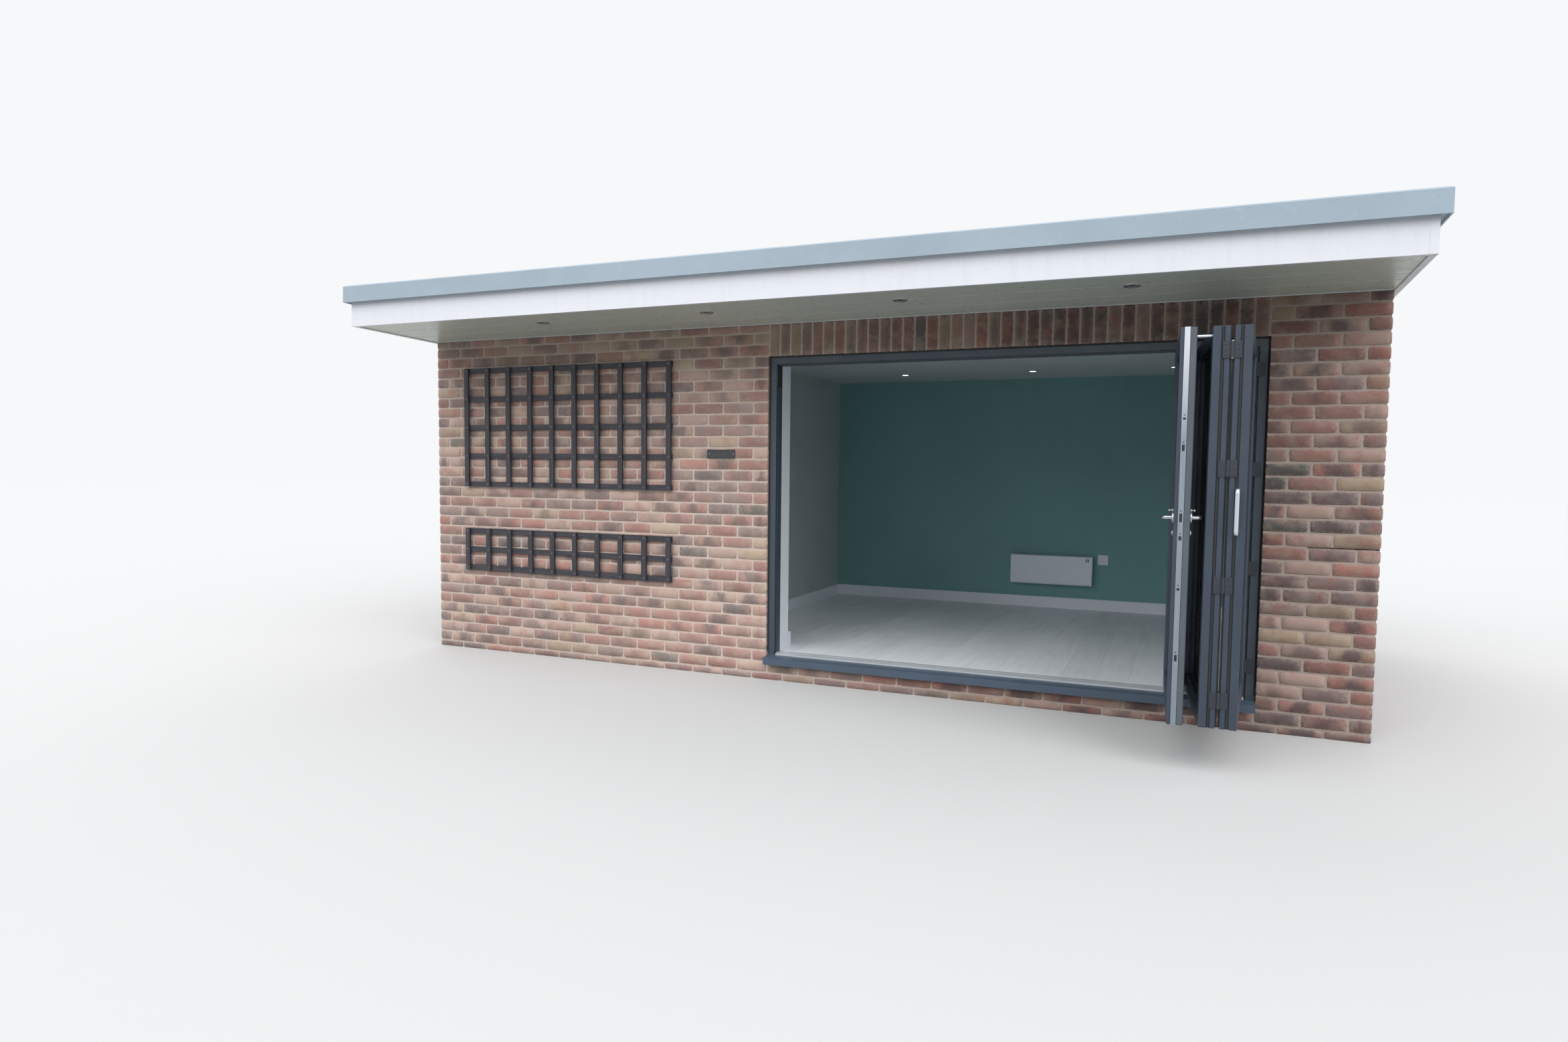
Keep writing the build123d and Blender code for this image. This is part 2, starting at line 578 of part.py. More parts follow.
def door_furniture():
    """Hinges with their track carriers, levers, pull handle, lock edge and the catch between leaves."""
    heights = hinge_heights()
    back = [back_hinge(z) for z in heights]
    back[0] += carrier(THRESHOLD_TOP - TRACK_DEPTH, LEAF_BOTTOM + 2 * KNUCKLE_RADIUS, heights[0])
    back[-1] += carrier(FRAME_HEAD + TRACK_DEPTH, LEAF_TOP - 2 * KNUCKLE_RADIUS, heights[-1])
    others = [hinge(z) for z in heights for hinge in (front_hinge, jamb_hinge)]
    return {
        "door_hinges": solids(*back, *others),
        "door_catch": catch(),
        "lever_handles": solids(placed(lead_place(), lever(1)), placed(lead_place(), lever(-1))),
        "pull_handle": placed(jamb_place(), pull_handle()),
        "lock_faceplate": placed(lead_place(), lock_plate()),
    }


def catch():
    """Round catch that holds the lead leaf open, half of it on each of the facing leaves."""
    half = LEAF_THICKNESS / 2
    z = LEAF_TOP - CATCH_DROP
    y = -LEAF_WIDTH + CATCH_SETBACK
    x0, y0, lead_turn = lead_place()
    x1, y1, middle_turn = middle_place()
    dx0, dy0 = turned(lead_turn, half, y)
    dx1, dy1 = turned(middle_turn, -half, y)
    length = math.hypot(x1 + dx1 - x0 - dx0, y1 + dy1 - y0 - dy0) / 2 + CATCH_BITE
    stub = Pos(length / 2, 0, 0) * Rot(0, 90, 0) * Cylinder(CATCH_RADIUS, length)
    on_lead = placed(lead_place(), Pos(half, y, z) * stub)
    on_middle = placed(middle_place(), Pos(-half, y, z) * Rot(0, 0, 180) * stub)
    return on_lead + on_middle


def lever(side):
    """Rose, neck and return-to-door lever on one face of the lead leaf."""
    face = side * LEAF_THICKNESS / 2
    y = -LEAF_WIDTH + LEAF_STILE / 2
    r = LEVER_SECTION / 2
    outward = Plane(origin=(face, y, HANDLE_HEIGHT), z_dir=(side, 0, 0))
    rose = extrude(outward * Circle(ROSE_RADIUS), amount=ROSE_THICKNESS)
    rose = fillet(rose.edges().group_by(Axis.X)[0 if side < 0 else -1], ROSE_THICKNESS / 4)
    reach = face + side * LEVER_REACH
    corners = [(face, y, HANDLE_HEIGHT), (reach, y, HANDLE_HEIGHT), (reach, y + LEVER_LENGTH, HANDLE_HEIGHT)]
    path = FilletPolyline(*corners, radius=r * 1.4)
    return rose + sweep(outward * Circle(r), path=path)


def pull_handle():
    """Bow handle on the outer edge of the jamb leaf."""
    y = -LEAF_WIDTH
    r = PULL_SECTION / 2
    low, high = PULL_BOTTOM + r, PULL_BOTTOM + PULL_LENGTH - r
    corners = [(0, y, low), (0, y - PULL_REACH, low), (0, y - PULL_REACH, high), (0, y, high)]
    path = FilletPolyline(*corners, radius=r * 1.4)
    section = Plane(origin=corners[0], z_dir=(0, -1, 0)) * Circle(r)
    return sweep(section, path=path)


def lock_plate():
    """Bright faceplate that runs down the lead leaf's closing edge, over its groove."""
    half = LOCK_PLATE_WIDTH / 2
    x, y = -EDGE_GROOVE_OFFSET, -LEAF_WIDTH
    return block(x - half, x + half, y - LOCK_PLATE_THICKNESS, y, LEAF_BOTTOM, LEAF_TOP)


def trellis(bottom, height, rows):
    """Square trellis: rails against the wall with uprights across them."""
    laths = []
    right = TRELLIS_LEFT + TRELLIS_LENGTH
    for i in range(rows + 1):
        z = bottom + i * (height - LATH_WIDTH) / rows
        laths.append(block(TRELLIS_LEFT, right, -LATH_THICKNESS, 0, z, z + LATH_WIDTH))
    for i in range(TRELLIS_COLUMNS + 1):
        x = TRELLIS_LEFT + i * (TRELLIS_LENGTH - LATH_WIDTH) / TRELLIS_COLUMNS
        laths.append(block(x, x + LATH_WIDTH, -2 * LATH_THICKNESS, -LATH_THICKNESS, bottom, bottom + height))
    return laths[0].fuse(*laths[1:])


def name_plate():
    """Plain plate with rounded corners and a shallow sunk panel."""
    middle = (PLATE_LEFT + PLATE_LENGTH / 2, 0, PLATE_BOTTOM + PLATE_HEIGHT / 2)
    face = Plane(origin=middle, x_dir=(1, 0, 0), z_dir=(0, -1, 0))
    rim = PLATE_THICKNESS
    outline = RectangleRounded(PLATE_LENGTH, PLATE_HEIGHT, rim)
    sunk = RectangleRounded(PLATE_LENGTH - 2 * rim, PLATE_HEIGHT - 2 * rim, rim / 2)
    plate = extrude(face * outline, amount=PLATE_THICKNESS)
    return plate - extrude(face.offset(PLATE_THICKNESS / 2) * sunk, amount=PLATE_THICKNESS)


def light_ring():
    """Bezel of a recessed lamp, hanging below z = 0, with its lamp dished in."""
    bezel = Pos(0, 0, -LIGHT_BEZEL / 2) * Cylinder(LIGHT_RADIUS, LIGHT_BEZEL)
    dish = Pos(0, 0, -LIGHT_BEZEL) * Cone(LIGHT_RADIUS * 0.75, LIGHT_RADIUS / 2, LIGHT_BEZEL)
    return bezel - dish


def lights():
    """Lamps under the overhang and in the room's ceiling."""
    first = WALL_LENGTH / 2 + SOFFIT_LIGHT_SHIFT - 1.5 * SOFFIT_LIGHT_PITCH
    ring = light_ring()
    lamps = []
    for i in range(4):
        lamps.append(on_roof(Pos(first + i * SOFFIT_LIGHT_PITCH, -SOFFIT_LIGHT_SETBACK, 0) * ring))
    middle = (ROOM_LEFT + ROOM_RIGHT) / 2 + CEILING_LIGHT_SHIFT
    for y in CEILING_LIGHT_ROWS:
        for i in (-1, 0, 1):
            lamps.append(Pos(middle + i * CEILING_LIGHT_PITCH, y, CEILING_HEIGHT) * ring)
    return {"recessed_lights": solids(*lamps)}


def heater():
    """Slim panel heater on a wall bracket."""
    x1 = HEATER_LEFT + HEATER_LENGTH
    z1 = HEATER_BOTTOM + HEATER_HEIGHT
    y1 = ROOM_BACK - HEATER_STANDOFF
    body = block(HEATER_LEFT, x1, y1 - HEATER_DEPTH, y1, HEATER_BOTTOM, z1)
    body = fillet(body.edges().filter_by(Axis.X).group_by(Axis.Y)[0], HEATER_STANDOFF)
    inset = HEATER_HEIGHT / 4
    return body + block(HEATER_LEFT + inset, x1 - inset, y1, ROOM_BACK, HEATER_BOTTOM + inset, z1 - inset)


def wall_fittings():
    """Trellis, name plate, heater and socket."""
    socket = block(SOCKET_LEFT, SOCKET_LEFT + SOCKET_SIZE, ROOM_BACK - SOCKET_DEPTH, ROOM_BACK,
                   SOCKET_BOTTOM, SOCKET_BOTTOM + SOCKET_SIZE)
    return {
        "trellis_upper": trellis(UPPER_TRELLIS_BOTTOM, UPPER_TRELLIS_HEIGHT, UPPER_TRELLIS_ROWS),
        "trellis_lower": trellis(LOWER_TRELLIS_BOTTOM, LOWER_TRELLIS_HEIGHT, LOWER_TRELLIS_ROWS),
        "name_plate": name_plate(),
        "wall_heater": heater(),
        "wall_socket": socket,
    }


def build():
    """Every node in the shell's own coordinates."""
    nodes = {}
    for group in (brick_walls, linings, room, roof_body, fascias, trims, door_frame, leaves, door_furniture,
                  lights, wall_fittings):
        nodes.update(group())
    return nodes


def main():
    nodes = build()
    whole = Compound(children=[s for shape in nodes.values() for s in shape.solids()]).bounding_box()
    centre = Pos(-(whole.min.X + whole.max.X) / 2, -(whole.min.Y + whole.max.Y) / 2, -whole.min.Z)
    os.makedirs("parts", exist_ok=True)
    for name, shape in nodes.items():
        export_step(centre * shape, f"parts/{name}.step")
    print("size", whole.size, "moved by", centre.position)


main()
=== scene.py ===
import random
from math import atan, copysign, cos, pi, radians, sin

import bpy
import numpy as np
from mathutils import Matrix, Vector


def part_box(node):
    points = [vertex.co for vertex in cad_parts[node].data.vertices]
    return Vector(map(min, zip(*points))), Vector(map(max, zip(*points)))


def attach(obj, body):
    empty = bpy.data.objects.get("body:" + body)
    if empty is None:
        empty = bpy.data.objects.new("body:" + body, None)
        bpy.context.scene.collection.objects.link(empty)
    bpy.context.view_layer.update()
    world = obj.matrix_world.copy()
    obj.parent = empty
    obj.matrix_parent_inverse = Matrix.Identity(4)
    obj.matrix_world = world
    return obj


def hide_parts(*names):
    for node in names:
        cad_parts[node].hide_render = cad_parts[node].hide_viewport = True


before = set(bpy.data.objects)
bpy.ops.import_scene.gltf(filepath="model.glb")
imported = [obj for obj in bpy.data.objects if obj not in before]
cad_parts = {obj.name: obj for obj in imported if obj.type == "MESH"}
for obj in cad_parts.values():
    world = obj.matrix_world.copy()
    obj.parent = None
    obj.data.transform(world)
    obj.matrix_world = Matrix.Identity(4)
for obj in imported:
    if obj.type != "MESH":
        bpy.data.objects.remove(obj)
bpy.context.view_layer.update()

# Everything below is in millimetres from the front left corner of the brickwork:
# X along the front, Y to the back, Z up from the ground
CORNER = np.array(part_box("front_wall_left")[0])
MM = 0.001
WALL_LENGTH = 6290.0
WALL_DEPTH = 3365.0
WALL_THICKNESS = 315.0
OPENING_LEFT = 2802.5
OPENING_RIGHT = 5737.5
OPENING_HEAD = 2140.0
CILL_COURSE_TOP = 125.0

# Roof
SOFFIT_HEIGHT = 2350.0
ROOF_FALL = 1.0 / 40.0
FALL_ANGLE = atan(ROOF_FALL)
OVERHANG = 749.0
SOFFIT_BOARD = 10.0
FASCIA_THICKNESS = 30.0

# Brickwork
BRICK = 215.0
HEADER = 102.5
WALL_SKIN = HEADER
BRICK_HEIGHT = 65.0
JOINT = 10.0
COURSE = BRICK_HEIGHT + JOINT
FIRST_COURSE = 50.0
COURSES = 31
MORTAR_DEPTH = 5.0
END_DEPTH = 3.0
SOLDIERS = 39
# Painted shade: the soldier course over the doorway is darkened for the shade under the roof.
SOLDIER_PAINTED_SHADE = 0.58
GROUND_GAP = 0.2
CUT_GAP = 1.0
SOFFIT_GAP = 1.5
LEAST_BRICK = 8.0
TOLERANCE = 1.0
BRICK_RETURN = 12.0
CORNER_RETURN = 34.0

# Wear of a tumbled brick: the cells of its face, and how far face and edge lie in, wander and are dented
CELL = (36.0, 33.0)
FACE_INSET, FACE_WANDER, FACE_DENT = 3.6, 0.9, 1.1
EDGE_INSET, EDGE_WANDER, EDGE_DEPTH, EDGE_DENT = 0.7, 0.4, 3.2, 1.4
BACK_INSET = 1.2
WORN_CORNER = 2.6

# Door frame
FRAME_FACE = 56.0
FRAME_FRONT = 27.5
TRACK_MIDDLE = 65.0

# Folding leaves: where the hinge edge of each stands and its turn in degrees
LEAVES = {
    "lead": (5303.814, 5.919, 2.3),
    "middle": (5410.688, 10.0, 4.2),
    "jamb": (5639.597, 10.0, -4.2),
}
LEAF_WIDTH = 936.0
LEAF_HALF = 36.0
LEAF_BOTTOM = 222.0
LEAF_TOP = 2080.0
GLASS_REBATE = 12.0
SIGHT_Y = (-866.0, -70.0)
SIGHT_Z = (307.0, 2018.0)
HINGE_HEIGHTS = (355.0, 893.33, 1431.67, 1970.0)
HINGE_PLATE = 5.0
HANDLE_HEIGHT = 1200.0
LOCK_PLATE = 3.0

# Slots down the leading edge: middle and length of each
LOCK_SLOTS = (
    (1660.0, 10.0), (1525.0, 30.0), (HANDLE_HEIGHT, 40.0), (1105.0, 20.0), (865.0, 12.0), (540.0, 30.0),
)

# Room
ROOM_LEFT = 2197.0
ROOM_RIGHT = WALL_LENGTH - WALL_THICKNESS
ROOM_FRONT = WALL_THICKNESS
ROOM_BACK = WALL_DEPTH - WALL_THICKNESS
PARTITION = 100.0
FLOOR_TOP = 183.0
CEILING = 2240.0
REVEAL = (2827.5, 5712.5)

# Trellis: the bottom, height and rows of each panel
TRELLIS_LEFT = 286.0
TRELLIS_LENGTH = 1798.0
TRELLIS_COLUMNS = 9
TRELLIS_PANELS = ((1250.0, 888.0, 4), (614.0, 318.0, 2))
LATH_WIDTH = 38.0
LATH_THICKNESS = 16.0

# Lamps and fittings
CEILING_LAMPS = [(x, y) for y in (965.0, 2400.0) for x in (3037.0, 4131.0, 5225.0)]
SOFFIT_LAMPS = [(x, -492.0) for x in (1376.0, 2604.0, 3832.0, 5060.0)]
HEATER_X = (3895.0, 4600.0)
HEATER_Z = (400.0, 660.0)
HEATER_FRONT = 2960.0
SOCKET = (4640.0, 3041.0, 589.0)
PLATE_X = (2355.0, 2563.0)
PLATE_MIDDLE = 1503.0

# Camera: where it stands, how it is turned in degrees, and its picture in dots
EYE = (5376.2, -5699.4, 1411.0)
TURN, DROP, ROLL = 23.27, 3.80, 0.598
PICTURE = (2360.0, 1568.0)
FOCAL = 1422.3
MIDDLE_ROW = 799.3

# Lamps of the studio: strength, spread in degrees, and degrees round from the front and up
STUDIO_LAMPS = {
    "key": (1.18, 50, 56, 33),
    "side": (0.76, 50, -30, 33),
    "high": (0.9, 60, 8, 58),
    "fill": (0.9, 70, 205, 35),
}

# Colours of the studio, for the light that bounces and as the camera sees them
FLOOR_LIT, FLOOR_SEEN = (0.26, 0.27, 0.26), (0.64, 0.64, 0.64)
SKY_LIT, SKY_SEEN = (0.96, 0.98, 1.0), (0.93, 0.94, 0.95)

# Profiles of turned pieces: radius and height
SCREW = [(4.2, 0.0), (4.0, 0.9), (2.6, 1.6), (0.6, 1.8)]
HINGE_CAP = [(7.0, 0.0), (7.0, 6.0), (5.0, 8.0), (1.0, 9.0)]
THUMB_TURN = [(9.0, 0.0), (9.0, 5.0), (7.5, 6.5), (4.0, 7.0),
              (4.0, 13.0), (6.0, 15.0), (5.0, 22.0), (1.0, 24.0)]
LOCK_ROSE = [(15.0, 0.0), (15.0, 4.0), (13.0, 5.5), (2.0, 5.5)]
LOCK_CORE = [(6.0, 5.0), (6.0, 7.5), (4.0, 8.5), (0.5, 8.5)]
LOCK_SCREW = [(3.2, 0.0), (3.0, 0.7), (0.6, 0.9)]
NAIL = [(3.4, 0.0), (3.2, 0.8), (1.0, 1.2)]
LENS = [(21.0, 0.4), (31.5, 3.6), (24.0, 4.6), (12.0, 5.2), (1.0, 5.4)]
SMALL_LENS = [(radius * 0.6, height * 0.5) for radius, height in LENS]
HEATER_KNOB = [(8.0, 0.0), (7.5, 4.0), (6.0, 5.0), (0.5, 5.0)]
SOCKET_SCREW = [(3.0, 0.0), (2.8, 0.5), (0.5, 0.7)]

# Corner numbers of the six sides of a box
BOX_SIDES = [(3, 2, 1, 0), (4, 5, 6, 7), (0, 1, 5, 4), (1, 2, 6, 5), (2, 3, 7, 6), (3, 0, 4, 7)]

# Noise without a stretch, and the range where most of its values lie
EVEN = (1.0, 1.0, 1.0)
USUAL = (0.3, 0.7)


def srgb(red, green, blue):
    """A colour as it looks, 0 to 255, turned into the linear values that a shader takes."""
    parts = [c / 255.0 for c in (red, green, blue)]
    return tuple(c / 12.92 if c <= 0.04045 else ((c + 0.055) / 1.055) ** 2.4 for c in parts)


class Shape:
    """Points, faces and the material number of each face, collected for one piece."""

    def __init__(self, move=None):
        self.points = []
        self.faces = []
        self.kinds = []
        self.move = move

    def add(self, points, faces, kind=0):
        first = len(self.points)
        self.points.extend([self.move(*p) for p in points] if self.move else points)
        self.faces.extend([[first + i for i in face] for face in faces])
        self.kinds.extend([kind] * len(faces))

    def box(self, x0, x1, y0, y1, z0, z1):
        corners = [(x, y, z) for z in (z0, z1) for x, y in ((x0, y0), (x1, y0), (x1, y1), (x0, y1))]
        self.add(corners, BOX_SIDES)

    def prism(self, outline, start, end):
        """A prism from an outline of 3-D points at start, carried along to end."""
        run = np.subtract(end, start)
        far = [tuple(np.add(p, run)) for p in outline]
        n = len(outline)
        faces = [tuple(range(n))[::-1], tuple(range(n, 2 * n))]
        faces += [(i, (i + 1) % n, n + (i + 1) % n, n + i) for i in range(n)]
        self.add(list(outline) + far, faces)

    def ring(self, x0, x1, y, z, width):
        """A rectangular band, standing in a plane across X, inside the given Y and Z spans."""
        (y0, y1), (z0, z1) = y, z
        self.box(x0, x1, y0, y1, z0, z0 + width)
        self.box(x0, x1, y0, y1, z1 - width, z1)
        self.box(x0, x1, y0, y0 + width, z0 + width, z1 - width)
        self.box(x0, x1, y1 - width, y1, z0 + width, z1 - width)

    def lathe(self, centre, axis, profile, sides=16):
        """A form turned round an axis through centre; profile gives (radius, height) pairs."""
        axis = Vector(axis).normalized()
        across = axis.orthogonal().normalized()
        other = axis.cross(across)
        points = []
        for radius, height in profile:
            for i in range(sides):
                a = 2 * pi * i / sides
                offset = (across * cos(a) + other * sin(a)) * radius + axis * height
                points.append(tuple(Vector(centre) + offset))
        faces = [tuple(range(sides))[::-1]]
        for row in range(len(profile) - 1):
            base = row * sides
            for i in range(sides):
                j = (i + 1) % sides
                faces.append((base + i, base + j, base + sides + j, base + sides + i))
        last = (len(profile) - 1) * sides
        faces.append(tuple(range(last, last + sides)))
        self.add(points, faces)


def add_object(name, data):
    """A new object in the scene."""
    made = bpy.data.objects.new(name, data)
    bpy.context.scene.collection.objects.link(made)
    return made


def make_piece(name, shape, looks, replaces=None, smooth=False, edge=0.0):
    """Turn a shape into a piece that rides on the building; looks are named with spaces between."""
    mesh = bpy.data.meshes.new(name)
    points = np.array(shape.points) * MM + CORNER
    mesh.from_pydata(points.tolist(), [], shape.faces)
    for look in looks.split():
        mesh.materials.append(LOOKS[look].material)
    mesh.polygons.foreach_set("material_index", shape.kinds)
    mesh.polygons.foreach_set("use_smooth", [smooth] * len(shape.faces))
    mesh.validate()
    mesh.update()
    obj = add_object(name, mesh)
    if edge:
        bevel = obj.modifiers.new("edge", "BEVEL")
        bevel.width = edge * MM
        bevel.segments = 2
        bevel.limit_method = "ANGLE"
    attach(obj, "root")
    if replaces:
        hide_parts(replaces)
    return obj


def point_layer(obj, name, kind, field, values):
    """Store a value for each point of a piece, for its look to read."""
    layer = obj.data.attributes.new(name, kind, "POINT")
    layer.data.foreach_set(field, np.array(values, np.float32).ravel())


class Look:
    """A material being made, in a colour of its own or, where that is None, in the tint of its points."""

    def __init__(self, name, color, roughness, metallic=0.0):
        self.material = bpy.data.materials.new(name)
        self.material.use_nodes = True
        self.tree = self.material.node_tree
        self.shader = self.tree.nodes["Principled BSDF"]
        self.color = (*color, 1.0) if color else self.attribute("tint", "Color")
        self.normal = None
        self.feed("Base Color", self.color)
        self.feed("Roughness", roughness)
        self.feed("Metallic", metallic)
        self.place = self.node("ShaderNodeTexCoord").outputs["Object"]

    def node(self, kind, **inputs):
        made = self.tree.nodes.new(kind)
        for name, value in inputs.items():
            self.put(value, made.inputs[name.replace("_", " ")])
        return made

    def put(self, value, socket):
        if isinstance(value, bpy.types.NodeSocket):
            self.tree.links.new(value, socket)
        else:
            socket.default_value = value

    def feed(self, name, value):
        """Set an input of the shader, or link it."""
        self.put(value, self.shader.inputs[name])

    def math(self, operation, a, b=0.0):
        made = self.tree.nodes.new("ShaderNodeMath")
        made.operation = operation
        self.put(a, made.inputs[0])
        self.put(b, made.inputs[1])
        return made.outputs[0]

    def noise(self, scale, detail=3.0, stretch=EVEN):
        """Noise in the building's own coordinates, per metre."""
        mapping = self.node("ShaderNodeMapping", Vector=self.place, Scale=stretch)
        made = self.node("ShaderNodeTexNoise", Vector=mapping.outputs[0], Scale=scale, Detail=detail)
        return made.outputs["Fac"]

    def ramp(self, value, low, high, to_low=0.0, to_high=1.0):
        made = self.node("ShaderNodeMapRange", Value=value, From_Min=low, From_Max=high,
                         To_Min=to_low, To_Max=to_high)
        return made.outputs[0]

    def blend(self, share, color):
        """Mix another colour over the one so far."""
        made = self.tree.nodes.new("ShaderNodeMix")
        made.data_type = "RGBA"
        self.put(share, made.inputs[0])
        self.put(self.color, made.inputs[6])
        self.put((*color, 1.0), made.inputs[7])
        self.color = made.outputs[2]
        self.feed("Base Color", self.color)

    def shade(self, value):
        """Multiply the colour so far by a grey value."""
        made = self.node("ShaderNodeVectorMath")
        made.operation = "SCALE"
        self.put(self.color[:3] if isinstance(self.color, tuple) else self.color, made.inputs[0])
        self.put(value, made.inputs["Scale"])
        self.color = made.outputs[0]
        self.feed("Base Color", self.color)

    def bump(self, height, strength, distance):
        made = self.node("ShaderNodeBump", Height=height, Strength=strength, Distance=distance)
        if self.normal is not None:
            self.put(self.normal, made.inputs["Normal"])
        self.normal = made.outputs[0]
        self.feed("Normal", self.normal)

    def patches(self, scale, detail, low, high, share, color, stretch=EVEN):
        """Another colour in patches, where noise of this scale passes from low to high."""
        self.blend(self.ramp(self.noise(scale, detail, stretch), low, high, 0.0, share), color)

    def mottle(self, scale, detail, dark, light):
        """Make the colour unevenly darker and lighter."""
        self.shade(self.ramp(self.noise(scale, detail), *USUAL, dark, light))

    def scuff(self, scale, detail, low, high):
        """Let the roughness wander between two values."""
        self.feed("Roughness", self.ramp(self.noise(scale, detail), *USUAL, low, high))

    def pit(self, scale, detail, strength, distance, stretch=EVEN):
        """Make the surface uneven with noise of this scale."""
        self.bump(self.noise(scale, detail, stretch), strength, distance)

    def attribute(self, name, output):
        made = self.tree.nodes.new("ShaderNodeAttribute")
        made.attribute_name = name
        return made.outputs[output]

    def axis(self, letter, value=None):
        """One coordinate of the building's own, in metres from its centre, or of another vector."""
        made = self.node("ShaderNodeSeparateXYZ", Vector=self.place if value is None else value)
        return made.outputs[letter]


def paint_brickwork_shade(look):
    """Painted light and shade on brickwork: palest left of the doorway, darker to the right and under the
    roof, as the light falls there; also darker at its foot.
    """
    for axis, *span in (("X", -2.0, -0.8, 0.9, 1.0), ("X", -0.6, 2.5, 0.99, 0.7),
                        ("Z", 0.0, 0.06, 0.84, 1.0), ("Z", 2.02, 2.16, 1.0, 0.86)):
        look.shade(look.ramp(look.axis(axis), *span))


def brick_look():
    """Tumbled multi brick: mottled red and buff over each brick's own tone, dark kiss marks, lime bloom,
    and painted light and shade: paler to the left, darker to the right and under the roof.
    """
    look = Look("tumbled_brick", None, 0.92)
    place = look.attribute("place", "Vector")
    along = look.math("ABSOLUTE", look.axis("X", place))
    up = look.math("ABSOLUTE", look.axis("Y", place))
    kiss = look.axis("Z", place)
    look.patches(11.0, 4.0, 0.5, 0.66, 0.6, srgb(182, 125, 115))
    look.patches(9.0, 4.0, 0.54, 0.7, 0.55, srgb(188, 168, 142), (1.0, 1.0, 1.7))
    drift = look.ramp(look.noise(6.5, 4.0), *USUAL, -0.45, 0.75)
    patch = look.ramp(look.math("ADD", along, drift), 0.35, 0.95, 1.0, 0.0)
    look.blend(look.math("MULTIPLY", patch, kiss), srgb(114, 99, 99))
    rim = look.math("MAXIMUM", along, up)
    bloom = look.math("MULTIPLY", look.ramp(rim, 0.66, 1.0), look.ramp(look.noise(55.0, 4.0), 0.38, 0.62))
    look.blend(look.math("MULTIPLY", bloom, 0.35), srgb(222, 206, 196))
    look.patches(8.0, 4.0, 0.5, 0.72, 0.35, srgb(214, 192, 180))
    # Painted light: the brick grows paler towards the left of the wall.
    look.blend(look.ramp(look.axis("X"), 1.5, -0.4, 0.0, 0.16), srgb(216, 196, 186))
    look.mottle(260.0, 3.0, 0.86, 1.12)
    # Painted light and shade across the wall and under the roof.
    paint_brickwork_shade(look)
    look.pit(90.0, 5.0, 0.55, 0.004)
    look.pit(420.0, 3.0, 0.3, 0.001)
    return look


def mortar_look():
    """Pale sandy mortar, with painted light and shade: paler to the left, darker to the right and under the
    roof.
    """
    look = Look("pale_mortar", srgb(216, 196, 186), 0.95)
    look.patches(14.0, 4.0, 0.4, 0.7, 0.45, srgb(194, 172, 160))
    # Painted light: the mortar grows paler towards the left of the wall.
    look.blend(look.ramp(look.axis("X"), 1.5, -0.4, 0.0, 0.4), srgb(234, 217, 206))
    look.mottle(380.0, 2.0, 0.84, 1.1)
    # Painted light and shade across the wall and under the roof.
    paint_brickwork_shade(look)
    look.pit(330.0, 3.0, 0.5, 0.002)
    return look


def paint_look(name, color, roughness=0.75):
    """Emulsion on plaster: roller stipple and a faint unevenness."""
    look = Look(name, color, roughness)
    look.mottle(1.6, 3.0, 0.96, 1.03)
    look.pit(240.0, 2.0, 0.12, 0.001)
    return look


def plastic_look(name, color, roughness=0.32, stain=0.22):
    """Smooth white board or enamel with faint rain streaks and dust."""
    look = Look(name, color, roughness)
    look.patches(7.0, 4.0, 0.52, 0.8, stain, tuple(c * 0.78 for c in color), (3.0, 3.0, 0.25))
    look.scuff(30.0, 2.0, roughness - 0.06, roughness + 0.12)
    look.pit(160.0, 2.0, 0.05, 0.0005)
    return look


def laminate_look(name, color):
    """Glass fibre laminate topcoat: brushed on, faintly rippled and weathered."""
    look = Look(name, color, 0.45)
    look.patches(2.2, 5.0, 0.42, 0.72, 0.5, tuple(c * 0.8 for c in color))
    look.patches(28.0, 4.0, 0.6, 0.8, 0.35, tuple(min(1.0, c * 1.3) for c in color))
    look.scuff(18.0, 3.0, 0.36, 0.58)
    look.pit(34.0, 3.0, 0.16, 0.002, (1.0, 0.4, 1.0))
    look.pit(300.0, 2.0, 0.12, 0.0006)
    return look


def roof_look():
    """Laminate roof surface: mottled topcoat, dust, and dirt left where the water stands at the back."""
    look = Look("roof_laminate", srgb(118, 131, 142), 0.5)
    look.patches(1.4, 5.0, 0.4, 0.7, 0.5, srgb(102, 114, 124))
    look.patches(30.0, 4.0, 0.55, 0.8, 0.4, srgb(140, 150, 156))
    back = look.ramp(look.axis("Y"), 0.6, 2.1, -0.25, 0.3)
    stain = look.math("ADD", look.noise(2.4, 6.0), back)
    look.blend(look.ramp(stain, 0.58, 0.8, 0.0, 0.55), srgb(92, 96, 90))
    ring = look.math("ABSOLUTE", look.math("SUBTRACT", stain, 0.57))
    look.blend(look.ramp(ring, 0.0, 0.012, 0.22, 0.0), srgb(82, 85, 79))
    look.scuff(18.0, 3.0, 0.42, 0.66)
    look.pit(34.0, 3.0, 0.16, 0.002)
    look.pit(300.0, 2.0, 0.15, 0.0006)
    return look


def powder_look(name, color, roughness=0.4):
    """Powder coated metal: fine orange peel with a little dust."""
    look = Look(name, color, roughness)
    look.patches(5.0, 5.0, 0.5, 0.85, 0.3, tuple(c * 1.9 for c in color))
    look.scuff(12.0, 3.0, roughness - 0.05, roughness + 0.12)
    look.pit(520.0, 2.0, 0.1, 0.0004)
    return look


def metal_look(name, color, roughness, stretch, metallic=1.0):
    """Bare metal brushed along one direction."""
    look = Look(name, color, roughness, metallic)
    brush = look.noise(240.0, 3.0, stretch)
    look.shade(look.ramp(brush, *USUAL, 0.88, 1.06))
    look.feed("Roughness", look.ramp(brush, *USUAL, roughness - 0.08, roughness + 0.1))
    look.bump(brush, 0.08, 0.0003)
    return look


